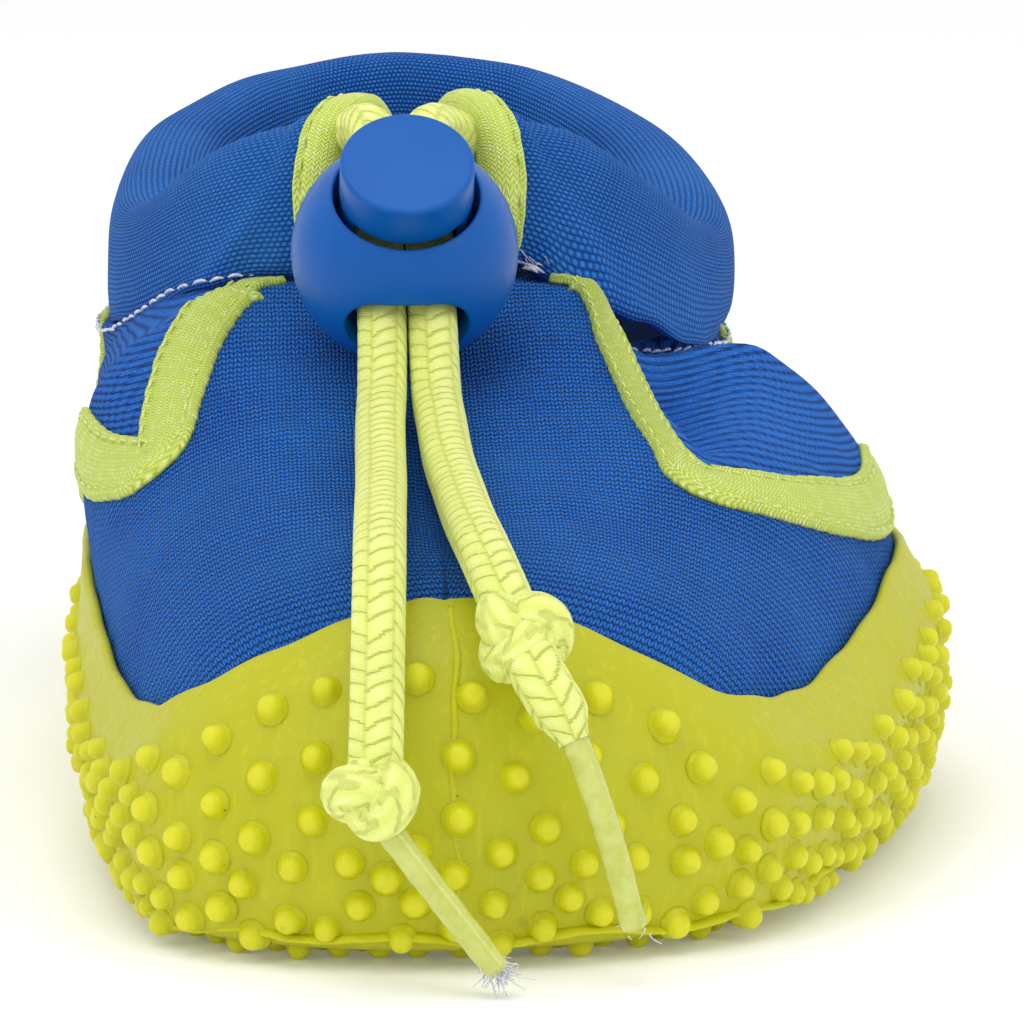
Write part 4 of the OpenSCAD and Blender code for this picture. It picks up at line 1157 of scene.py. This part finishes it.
def run_to_seam(sp, ss, at):
    """Every thread of the tape runs straight on until it is cut.

    In front that is short of the collar, and behind it is at the seam.
    """
    extra, front_top, rear_top = 150, 0.905, 0.985
    mid = sp.shape[1] // 2
    far = np.arange(1, extra + 1)[:, None]
    for _ in range(2):
        dp, ds = (sp[-1, mid] - sp[-12, mid]) / 11, (ss[-1, mid] - ss[-12, mid]) / 11
        sp = np.vstack([sp, sp[-1] + dp * far])[::-1]
        ss = np.vstack([ss, ss[-1] + ds * far])[::-1]
        at = np.concatenate([at, at[-1] + (at[-1] - at[-2]) * far[:, 0]])[::-1]
    rows, half_way = np.arange(len(at)), len(at) // 2
    first = half_way - np.argmin((ss[:, mid] < front_top)[half_way::-1]) + 1
    last = half_way + np.argmin((ss[:, mid] < rear_top)[half_way:]) - 1
    new = [np.zeros(sp.shape) for _ in range(3)]
    for j in range(sp.shape[1]):
        a = half_way - np.argmin((ss[:, j] < front_top)[half_way::-1]) + 1
        b = half_way + np.argmin((ss[:, j] < rear_top)[half_way:]) - 1
        t = np.linspace(max(a, first - 1), min(b, last + 9), len(at))
        for out, values in zip(new, (sp[:, j], ss[:, j], at)):
            out[:, j] = np.interp(t, rows, values)
    return new


for sign, name in ((1, "lateral"), (-1, "medial")):
    count = 520
    p, s, at = tape_line(sign, count)
    mid = skin(p, s)
    along = np.gradient(mid, axis=0)
    for _ in range(12):
        along[1:-1] = (along[:-2] + along[1:-1] * 2 + along[2:]) / 4
    along /= np.linalg.norm(along, axis=1, keepdims=True)
    n0, _, _ = surface_frame(p, s)
    side = np.cross(n0, along)
    rng = np.random.default_rng(31 + sign)
    scallop = 0.05 * np.sin(2 * math.pi * at / STITCH_PITCH) + 0.03 * np.sin(2 * math.pi * at / 0.9 + 1)
    across = np.linspace(-1, 1, 27)
    front_len = at[np.argmin(np.abs(from_toe(p) - LOW_LINES[sign][0][0]))]
    slim = 0.45 if sign > 0 else 0.95
    half = TAPE_W / 2 * (slim + (1 - slim) * smooth((at - front_len + 5) / 8)) + scallop * 0.9
    shape_p, shape_s = [], []
    for w in across:
        q, r = slid(p, s, side * (half * w)[:, None])
        shape_p.append(q)
        shape_s.append(r)
    sp, ss, at = run_to_seam(np.stack(shape_p, 1), np.stack(shape_s, 1), at)
    a2 = np.abs(across)[None, :]
    row = np.exp(-((a2 - 0.68) / 0.07) ** 2)
    hole = 0.5 + 0.5 * np.cos(2 * math.pi * at / STITCH_PITCH)
    pillow = (0.2 * (1 - (a2 / 0.68) ** 2) * (a2 < 0.68)
              + 0.1 * (a2 > 0.68) * np.sin(math.pi * (a2 - 0.68) / 0.32))
    edge_drop = 0.34 * smooth((a2 - 0.9) / 0.1)
    base = skin(sp, ss)
    off = waves(base) * 0.6 + GAP + 0.52 + pillow - 0.15 * row * (0.45 + 0.55 * hole) - edge_drop
    off = off + 0.04 * noise3(base, 3.2, 12)
    off = np.clip(off, 0.14, GAP + TAPE_T + 0.25)
    drop = seat(sp, ss)
    outer = skin(sp, ss, off - drop)
    inner = skin(sp, ss, np.minimum(off - 0.3, GAP * 0.2) - drop)
    v, f = slab(outer, inner, flip=sign > 0)
    flat_uv = np.stack([np.broadcast_to(across[None, :] * TAPE_W / 2, sp.shape), at], -1).reshape(-1, 2)
    tape = mesh_object("trim_tape_%s_woven" % name, v, f, [TAPE], "shoe", np.vstack([flat_uv, flat_uv]))
    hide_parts("trim_tape_" + name)
    # two rows of real stitches
    cs, ts, ns = [], [], []
    for w in (-0.7, 0.7):
        k = int((across.size - 1) * (w + 1) / 2)
        up = surface_frame(sp[:, k], np.clip(ss[:, k], 0, 1))[0]
        col = outer[:, k] + up * 0.04
        line_at = at[:, k] * np.sign(at[-1, k] - at[0, k])
        places = np.arange(line_at[0] + 1.0, line_at[-1] - 1.0, STITCH_PITCH)
        for q in places + rng.uniform(-0.1, 0.1):
            i = min(max(int(np.searchsorted(line_at, q)), 2), len(col) - 3)
            d = col[i + 2] - col[i - 2]
            cs.append(col[i])
            ts.append(d / np.linalg.norm(d) + rng.normal(0, 0.03, 3))
            ns.append(up[i])
    v, f = capsules(cs, ts, ns, 1.2, 0.12, 0.06)
    st = mesh_object("trim_stitches_" + name, v, f, [LIME_THREAD])


# ---- collar: lofted with its hang and puckers, then swollen a little by cloth simulation ---------
def signed_pow(v, e):
    return np.sign(v) * np.abs(v) ** e


def collar_point(p, turn, inset):
    r = collar_row(p)
    e = 2 / 2.6
    half_w, half_h = r[..., 1] / 2 - inset, r[..., 0] / 2 - inset
    at = top_point(p) + seam_normal(p) * (r[..., 2] + half_w * signed_pow(np.cos(turn), e))[..., None]
    at[..., 2] += GAP + r[..., 0] / 2 + half_h * signed_pow(np.sin(turn), e)
    return at


def collar_p(share, turn):
    bevel = COLLAR_BEVEL * (1 + np.cos(turn)) / 2 * np.abs(2 * share - 1) ** 6
    q = COLLAR_FIRST + (SIDE_N - COLLAR_FIRST) * 2 * np.minimum(share, 1 - share) + bevel
    return np.where(share <= 0.5, q, LOOP_N - q)


cols, turns = 132, 30
share = np.linspace(0, 1, cols)[:, None] * np.ones((1, turns))
turn = np.linspace(-math.pi / 2, 1.5 * math.pi, turns, endpoint=False)[None, :] * np.ones((cols, 1))
p = collar_p(share, turn)
grid = collar_point(p, turn, 0.55)
length_round = arc_lengths(grid[:, 0])
height_round = arc_lengths(grid[cols // 2])
# puckers where the seam gathers the knit, fading up the section
low = np.clip((-np.sin(turn) - 0.1) / 0.9, 0, 1)
gather = np.sin(length_round[:, None] * 2 * math.pi / 6.3 + 1.3 * np.sin(length_round[:, None] / 9))
# the padding hangs over the seam, most on the outer side of the foot
q_of = from_toe(p)
outer_side = p <= SIDE_N
hang = np.where(outer_side, 0.9 + 3.7 * smooth((q_of - 6.6) / 0.35) * (1 - smooth((q_of - 7.5) / 1.1)),
                0.9 + 1.4 * np.exp(-((q_of - 8.1) / 1.1) ** 2))
turned = (turn + math.pi) % (2 * math.pi) - math.pi
hang = hang * np.exp(-((turned + 0.85) / 0.55) ** 2)
grid[..., 2] -= hang
grid += seam_normal(p) * (0.55 * hang)[..., None]
centre_line = grid.mean(1, keepdims=True)
grid = grid + (grid - centre_line) * (0.035 * gather * low + 0.02 * noise3(grid, 14, 40))[..., None]
SIM = 10.0  # the cloth is worked at ten times its size
SIM_FRAMES = 20
SWELL_CAP = 0.9  # mm: the simulation alone would move most points further than this
verts = grid.reshape(-1, 3)
faces = grid_faces(cols, turns, 0, True, False, True)
base_pts = verts.copy()
me = bpy.data.meshes.new("collar_cloth")
me.from_pydata((verts * MM * SIM).tolist(), [], faces.tolist())
cloth_ob = bpy.data.objects.new("collar_cloth", me)
scene.collection.objects.link(cloth_ob)
pins = cloth_ob.vertex_groups.new(name="pins")
on_seam = (np.sin(turn) < -0.86).reshape(-1)
column_of = np.arange(cols * turns) // turns
at_end = (column_of < 5) | (column_of >= cols - 5)
pins.add(np.nonzero(on_seam | at_end)[0].tolist(), 1.0, "REPLACE")
mod = cloth_ob.modifiers.new("cloth", "CLOTH")
st = mod.settings
st.quality = 6
st.mass = 0.3
st.vertex_group_mass = "pins"
st.use_pressure = True
st.uniform_pressure_force = 14.0
st.tension_stiffness = 22
st.compression_stiffness = 12
st.shear_stiffness = 10
st.bending_stiffness = 0.6
st.effector_weights.gravity = 0.0
mod.collision_settings.use_self_collision = False
mod.collision_settings.use_collision = False
mod.point_cache.frame_start = 1
mod.point_cache.frame_end = SIM_FRAMES
for frame_no in range(1, SIM_FRAMES + 1):
    scene.frame_set(frame_no)
    bpy.context.view_layer.update()
dg = bpy.context.evaluated_depsgraph_get()
swollen = cloth_ob.evaluated_get(dg).to_mesh()
pts = np.zeros(len(swollen.vertices) * 3)
swollen.vertices.foreach_get("co", pts)
pts = pts.reshape(-1, 3) / MM / SIM
cloth_ob.evaluated_get(dg).to_mesh_clear()
scene.frame_set(1)
move = pts - base_pts
far = np.linalg.norm(move, axis=1, keepdims=True)
pts = base_pts + move * np.minimum(1, SWELL_CAP / np.maximum(far, 1e-9))
print("collar cloth: largest move %.2f, mean %.2f mm" % (far.max(), far.mean()))
bpy.data.objects.remove(cloth_ob)
grid = pts.reshape(cols, turns, 3)
# the folded valley behind each front lobe, pressed down into the swollen collar
valley = np.exp(-((q_of - 8.3) / 0.5) ** 2) * np.clip(np.sin(turn), 0, 1) ** 1.5
lean = np.exp(-((turn - 1.9) / 0.9) ** 2)
grid[..., 2] -= 1.5 * valley
grid += (grid.mean(1, keepdims=True) - grid) * (0.07 * valley * lean)[..., None]
uv = np.stack([np.broadcast_to(length_round[:, None], share.shape),
               np.broadcast_to(height_round[None, :], share.shape)], -1)
# the open ends turn in to make the drawcord's tunnel
tuck = grid + (grid.mean(1, keepdims=True) - grid) * 0.3
tucked = np.vstack([tuck[3:4], tuck[1:2], grid, tuck[-2:-1], tuck[-4:-3]])
uv = np.concatenate([uv[:1], uv[:1], uv, uv[-1:], uv[-1:]], 0)
n, m = tucked.shape[:2]
# a repeated last column gives the texture a clean join along the hidden underside
tucked = np.concatenate([tucked, tucked[:, :1]], 1)
once_round = height_round[-1] + (height_round[1] - height_round[0])
uv = np.concatenate([uv, uv[:, :1] + np.array([0, once_round])], 1)
f = grid_faces(n, m + 1, 0, True).tolist()
collar = mesh_object("collar_padded", tucked.reshape(-1, 3), f, [KNIT_COLLAR], "shoe", uv.reshape(-1, 2))


def close_ends(bm):
    bmesh.ops.holes_fill(bm, edges=[e for e in bm.edges if len(e.link_faces) == 1], sides=0)
    for face in bm.faces:
        face.smooth = True


weld(collar.data, close_ends)
sub = collar.modifiers.new("subdivision", "SUBSURF")
sub.levels = sub.render_levels = 2
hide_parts("collar")

# ---- collar bindings: tape folded round the open ends --------------------------------------------
for end, name in ((0, "lateral"), (1, "medial")):
    n_len, n_round = 40, 120
    band = np.linspace(0.0, 0.02, n_len)
    sh = (band if end == 0 else 1 - band)[:, None] * np.ones((1, n_round))
    tn = np.linspace(math.radians(-62), math.radians(242), n_round)[None, :] * np.ones((n_len, 1))
    bp = collar_p(sh, tn)
    dist = band[:, None] / band[-1]
    stitch_row = np.exp(-((dist - 0.78) / 0.05) ** 2)
    arc = np.arange(n_round)[None, :] * 0.36
    holes = 0.5 + 0.5 * np.cos(2 * math.pi * arc / 2.4)
    lift = 0.62 + 0.24 * np.sin(math.pi * np.clip(dist / 0.78, 0, 1)) - 0.24 * stitch_row * holes
    lift = lift - 0.3 * smooth((dist - 0.93) / 0.07)
    lift = lift + 0.06 * noise3(collar_point(bp, tn, 0), 4.5, 60 + end)
    wave = 0.07 * np.sin(tn * 9 + 1) + 0.03 * np.sin(tn * 23)
    outer = collar_point(bp + (wave * smooth(dist * 1.2) * 0.05) * (1 if end == 0 else -1), tn, -lift)
    # the mouth rolls inward over the fold
    centre = outer.mean(1, keepdims=True)
    mouth = []
    for w, depth in ((0.0, 0.0), (0.1, -0.42), (0.24, -0.5), (0.38, -0.2), (0.44, 0.7)):
        step_in = (centre[0] - outer[0]) * w
        mouth.append(outer[0] + step_in + (outer[4] - outer[0]) / np.linalg.norm(
            (outer[4] - outer[0]), axis=-1, keepdims=True) * depth)
    outer = np.concatenate([np.stack(mouth[::-1][:-1]), outer], 0)
    ring_centre = outer.mean(1, keepdims=True)
    inner = outer + (ring_centre - outer) / np.linalg.norm(ring_centre - outer, axis=-1, keepdims=True) * 0.55
    v, f = slab(outer, inner, flip=end == 0)
    seg = np.linalg.norm(np.diff(outer, axis=0), axis=-1).mean(1)
    vv = np.concatenate([[0], np.cumsum(seg)])
    flat_uv = np.stack([np.broadcast_to(vv[:, None], outer.shape[:2]),
                        np.broadcast_to(arc, outer.shape[:2])], -1).reshape(-1, 2)
    ob = mesh_object("collar_binding_%s_woven" % name, v, f, [BINDING_LIGHTENED], "shoe", np.vstack([flat_uv, flat_uv]))
    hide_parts("collar_binding_" + name)
    k_row = 4 + int(0.78 * (n_len - 1))
    line = outer[k_row]
    norm_out = outer[k_row] - ring_centre[k_row]
    norm_out /= np.linalg.norm(norm_out, axis=1, keepdims=True)
    d = arc_lengths(line)
    cs, ts, ns = [], [], []
    for q in np.arange(1.2, d[-1] - 1, STITCH_PITCH):
        i = min(int(np.searchsorted(d, q)), len(line) - 2)
        tv = line[i + 1] - line[i - 1]
        cs.append(line[i] + norm_out[i] * 0.1)
        ts.append(tv / np.linalg.norm(tv))
        ns.append(norm_out[i])
    v, f = capsules(cs, ts, ns, 1.15, 0.12, 0.06)
    st = mesh_object("binding_stitches_" + name, v, f, [LIME_THREAD])

# ---- white seam stitches and the throat bartack --------------------------------------------------
seam_p = np.linspace(THROAT + 0.55, LOOP_N - THROAT - 0.55, 1600)
seam_s = (0.965 - 0.075 * np.exp(-((seam_p - 7.65) / 0.5) ** 2)
          - 0.03 * np.exp(-((LOOP_N - seam_p - 7.8) / 0.8) ** 2))
over = np.exp(-((from_toe(seam_p) - REAR_END) / 0.5) ** 4)
for sign in (1, -1):
    end_q = FRONT_LINES[sign][-1][0] - 0.15
    on_side = seam_p <= SIDE_N if sign > 0 else seam_p > SIDE_N
    over = np.maximum(over, on_side * np.exp(-((from_toe(seam_p) - end_q) / 0.45) ** 4))
line = skin(seam_p, seam_s, 0.25 + over * 0.6 - seat(seam_p, seam_s))
d = arc_lengths(line)
rng = np.random.default_rng(77)
cs, ts, ns = [], [], []
for q in np.arange(0.8, d[-1] - 0.8, STITCH_PITCH):
    i = min(max(int(np.searchsorted(d, q)), 2), len(line) - 3)
    tv = line[i + 2] - line[i - 2]
    tv = tv / np.linalg.norm(tv) + rng.normal(0, 0.07, 3)
    cs.append(line[i] + rng.normal(0, 0.05, 3))
    ts.append(tv / np.linalg.norm(tv))
    ns.append(surface_frame(np.array([seam_p[i]]), np.array([0.97]))[0][0])
v, f = capsules(cs, ts, ns, 1.45, 0.16, 0.16)
ob = mesh_object("collar_seam_stitches", v, f, [WHITE_THREAD])
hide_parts("collar_seam_thread")

tack = skin(np.array(THROAT + 0.5), 0.94, 0.5)
nn = surface_frame(np.array([THROAT + 0.5]), np.array([0.94]))[0][0]
along = np.cross(np.array([0, 0, 1.0]), nn)
along = along / np.linalg.norm(along)
along = along if along[0] > 0 else -along
along = along * math.cos(0.16) - np.array([0, 0, 1.0]) * math.sin(0.16)
upward = np.cross(nn, along)
upward = upward if upward[2] > 0 else -upward
cs, ts, ns = [], [], []
rng = np.random.default_rng(8)
for k in range(34):
    x = -2.6 + 5.2 * k / 33
    cs.append(tack + along * x + nn * (0.05 + 0.1 * (k % 3)) + upward * rng.normal(0, 0.08))
    tilt = along * (0.5 if k % 2 else -0.35) + upward
    ts.append(tilt / np.linalg.norm(tilt))
    ns.append(nn)
v, f = capsules(cs, ts, ns, 1.5, 0.17, 0.14)
v2, f2 = fibres(tack + along * rng.uniform(-2.8, 2.8, (26, 1)) + nn * 0.3,
                (along * rng.choice([-1, 1], (26, 1)) + upward * rng.normal(0, 0.45, (26, 1)) + nn * 0.35),
                rng.uniform(1.2, 3.4, 26), 0.07, 9, 0.35)
f = f + [[k + len(v) for k in q] for q in f2]
ob = mesh_object("throat_bartack_threads", np.vstack([v, v2]), f, [WHITE_THREAD])
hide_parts("throat_bartack")

# ---- insole and lasting board --------------------------------------------------------------------
inset = UPPER_T + 0.95
n_round = 240
rp = np.linspace(0, LOOP_N, n_round, endpoint=False)
edge0 = foot_point(rp) - foot_normal(rp) * inset
partner = (-np.arange(n_round)) % n_round
mid_line = (edge0 + edge0[partner]) / 2
rows_top = []
for w, z in ((0.0, 0.15), (0.0, 0.9), (0.012, 0.985), (0.05, 1.0), (0.18, 0.93), (0.4, 0.86), (0.65, 0.83),
             (0.85, 0.82), (1.0, 0.82)):
    ring = edge0 * (1 - w) + mid_line * w
    ring[:, 2] = INSOLE_Z + INSOLE_T * z + 0.08 * noise3(ring, 9, 50) * (z > 0.9)
    rows_top.append(ring)
bottom = [edge0.copy(), mid_line.copy()]
for ring in bottom:
    ring[:, 2] = INSOLE_Z + 0.02
grid = np.stack([bottom[1], bottom[0]] + rows_top, 1)
f = grid_faces(n_round, grid.shape[1], 0, True, True, False).tolist()
ob = mesh_object("insole_sock", grid.reshape(-1, 3), f, [SOCK], "shoe", grid.reshape(-1, 3)[:, :2])
weld(ob.data, lambda bm: bmesh.ops.dissolve_degenerate(bm, edges=bm.edges, dist=1e-7))
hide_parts("insole")


def dress(node, material):
    """A CAD node that keeps its shape gets its own finish."""
    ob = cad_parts[node]
    if not ob.material_slots:
        ob.data.materials.append(material)
    for slot in ob.material_slots:
        slot.material = material


dress("lasting_board", BOARD)


# ---- cord lock -----------------------------------------------------------------------------------
LOCK_TURN = Matrix.Rotation(LOCK_TILT, 3, "X")
POCKET_FLOOR, BRIDGE_UNDER = -8.3, -3.4
SPRING_D, SPRING_WIRE, SPRING_TURNS = 6.0, 0.5, 3


def lock_spring():
    """The coil under the button, from the pocket's floor up to the button's underside."""
    end = SPRING_WIRE / 2 + 0.05
    t = np.linspace(0, 1, 24 * SPRING_TURNS + 1)
    turn = 2 * math.pi * SPRING_TURNS * t
    coil = np.stack([SPRING_D / 2 * np.cos(turn), SPRING_D / 2 * np.sin(turn),
                     POCKET_FLOOR + end + (BRIDGE_UNDER - POCKET_FLOOR - 2 * end) * t], 1)
    coil = LOCK_AT + coil @ np.array(LOCK_TURN).T
    v, f = tube_mesh(coil, np.full(len(coil), SPRING_WIRE / 2), 8)
    ob = mesh_object("lock_spring_coil", v, f, [STEEL], "cord_lock")
    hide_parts("lock_spring")
    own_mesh(ob)


lock_spring()


def lathe(profile, around):
    """A closed solid turned about Z from a profile of radius and height; ends lie on the axis."""
    verts, faces, rows_ = [], [], []
    for r, z in profile:
        if r < 1e-6:
            rows_.append([len(verts)])
            verts.append([0, 0, z])
        else:
            rows_.append(list(range(len(verts), len(verts) + around)))
            verts += [[r * math.cos(2 * math.pi * g / around), r * math.sin(2 * math.pi * g / around), z]
                      for g in range(around)]
    for a, b2 in zip(rows_, rows_[1:]):
        for g in range(around):
            g2 = (g + 1) % around
            if len(a) == 1:
                faces.append([a[0], b2[g2], b2[g]])
            elif len(b2) == 1:
                faces.append([a[g], a[g2], b2[0]])
            else:
                faces.append([a[g], a[g2], b2[g2], b2[g]])
    return np.array(verts, float), faces


def arc(cx, cz, r, a0, a1, count):
    return [(cx + r * math.cos(math.radians(a)), cz + r * math.sin(math.radians(a)))
            for a in np.linspace(a0, a1, count)]


def solid_object(name, verts, faces):
    me = bpy.data.meshes.new(name)
    me.from_pydata([tuple(v) for v in verts], [], [tuple(f) for f in faces])
    weld(me, distance=0)
    ob = bpy.data.objects.new(name, me)
    scene.collection.objects.link(ob)
    return ob


def cut(target, cutter):
    mod = target.modifiers.new("cut", "BOOLEAN")
    mod.operation = "DIFFERENCE"
    mod.solver = "EXACT"
    mod.object = cutter
    dg = bpy.context.evaluated_depsgraph_get()
    new = bpy.data.meshes.new_from_object(target.evaluated_get(dg))
    target.modifiers.remove(mod)
    old = target.data
    target.data = new
    bpy.data.meshes.remove(old)
    bpy.data.objects.remove(cutter)


def into_lock(ob, name, node, body):
    """From the lock's own millimetres into the shoe's frame."""
    me = ob.data
    me.transform(Matrix.Scale(MM, 4) @ Matrix.Translation(Vector(LOCK_AT)) @ LOCK_TURN.to_4x4())
    me.materials.clear()
    me.materials.append(PLASTIC)
    me.polygons.foreach_set("material_index", np.zeros(len(me.polygons), np.int32))
    me.polygons.foreach_set("use_smooth", np.full(len(me.polygons), True))
    me.set_sharp_from_angle(angle=math.radians(32))
    me.update()
    ob.name = name
    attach(ob, body)
    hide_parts(node)


R = LOCK_D / 2
bore_r, mouth_z = BORE_D / 2, 7.2
profile = [(0, -R)] + arc(0, 0, R, -88.5, math.degrees(math.asin((mouth_z - 0.3) / R)), 70)
profile += [(bore_r + 0.22, mouth_z - 0.08), (bore_r + 0.08, mouth_z - 0.12), (bore_r, mouth_z - 0.4),
            (bore_r, -6.3), (bore_r - 0.3, -6.65), (3.6, -6.65), (3.6, -8.2), (0, -8.2)]
verts, faces = lathe(profile, 160)
barrel = solid_object("barrel", verts, faces)


def slot_cutter(w, h, flare, reach):
    """A rounded slot along Y whose two mouths open like a trumpet."""
    stations = np.linspace(-reach, reach, 61)
    loops = []
    for y in stations:
        grow = flare * max(0.0, (abs(y) - 6.3) / (9.2 - 6.3)) ** 2.2
        ww, hh = w / 2 + grow * 1.15, h / 2 + grow
        ring = []
        for g in range(72):
            a = 2 * math.pi * g / 72
            cx = (ww - hh) * (1 if math.cos(a) > 0 else -1) * smooth(abs(math.cos(a)) / 0.06)
            ring.append([cx + hh * math.cos(a), y, hh * math.sin(a)])
        loops.append(ring)
    pts = np.array(loops).reshape(-1, 3)
    f = grid_faces(61, 72, 0, False, False, True).tolist()
    f += [list(range(72)), list(range(60 * 72, 61 * 72))[::-1]]
    return solid_object("slot", pts, f)


cut(barrel, slot_cutter(9.6, 5.1, 1.0, 12.5))
into_lock(barrel, "lock_barrel_moulded", "lock_barrel", "cord_lock")

cap_under, cap_top = 7.05, 11.05
bridge_top, bridge_low = -2.2, BRIDGE_UNDER
br = BUTTON_D / 2
profile = [(0, cap_top + 0.1), (br * 0.5, cap_top + 0.07), (br - 0.45, cap_top)]
profile += arc(br - 0.38, cap_top - 0.38, 0.38, 88, 2, 8)
profile += [(br, cap_under + 0.25), (br - 0.06, cap_under + 0.1), (br - 0.1, cap_under),
            (br - 0.1, bridge_low + 0.3), (br - 0.4, bridge_low), (0, bridge_low)]
verts, faces = lathe(profile, 128)
plunger = solid_object("plunger", verts, faces)
window = np.array([[x, y, z] for x in (-4.35, 4.35) for y in (-12, 12)
                   for z in (bridge_top, cap_under)], float)
box_faces = [[0, 1, 3, 2], [4, 6, 7, 5], [0, 4, 5, 1], [2, 3, 7, 6], [0, 2, 6, 4], [1, 5, 7, 3]]
cut(plunger, solid_object("window", window, box_faces))
into_lock(plunger, "lock_plunger_moulded", "lock_plunger", "lock_button")

# ---- floor and light -----------------------------------------------------------------------------
me = bpy.data.meshes.new("studio_floor")
me.from_pydata([(-8, -3, 0), (8, -3, 0), (8, 14, 0), (-8, 14, 0)], [], [(0, 1, 2, 3)])
floor_ob = bpy.data.objects.new("studio_floor", me)
scene.collection.objects.link(floor_ob)
paper = Nodes("studio_paper")
paper_white = paper.mix(paper.noise(3, 2, 0.5), (0.93, 0.93, 0.925), (0.95, 0.95, 0.945))
me.materials.append(paper.finish(Base_Color=paper_white, Roughness=0.9, Specular_IOR_Level=0.1,
                                 Emission_Color=(1.0, 1.0, 1.0, 1.0), Emission_Strength=0.1))

world = bpy.data.worlds.new("studio")
scene.world = world
world.use_nodes = True
background = next(n for n in world.node_tree.nodes if n.type == "BACKGROUND")
background.inputs["Color"].default_value = (1.0, 1.0, 1.0, 1)
background.inputs["Strength"].default_value = 0.86


def area(name, at, aim, size, power):
    light = bpy.data.lights.new(name, "AREA")
    light.shape = "RECTANGLE"
    light.size, light.size_y = size
    light.energy = power
    ob = bpy.data.objects.new(name, light)
    scene.collection.objects.link(ob)
    ob.location = at
    ob.rotation_mode = "QUATERNION"
    ob.rotation_quaternion = (Vector(aim) - Vector(at)).to_track_quat("-Z", "Y")


area("key_above", (-0.1, -0.3, 1.1), (0, -0.02, 0), (0.7, 0.6), 3.2)
area("front_left", (-0.9, -0.9, 0.8), (0, 0, 0.03), (0.4, 0.5), 1.6)
area("front_right", (0.9, -0.8, 0.6), (0, 0, 0.03), (0.4, 0.5), 1.3)
scene.view_settings.view_transform = "Standard"
scene.view_settings.look = "None"
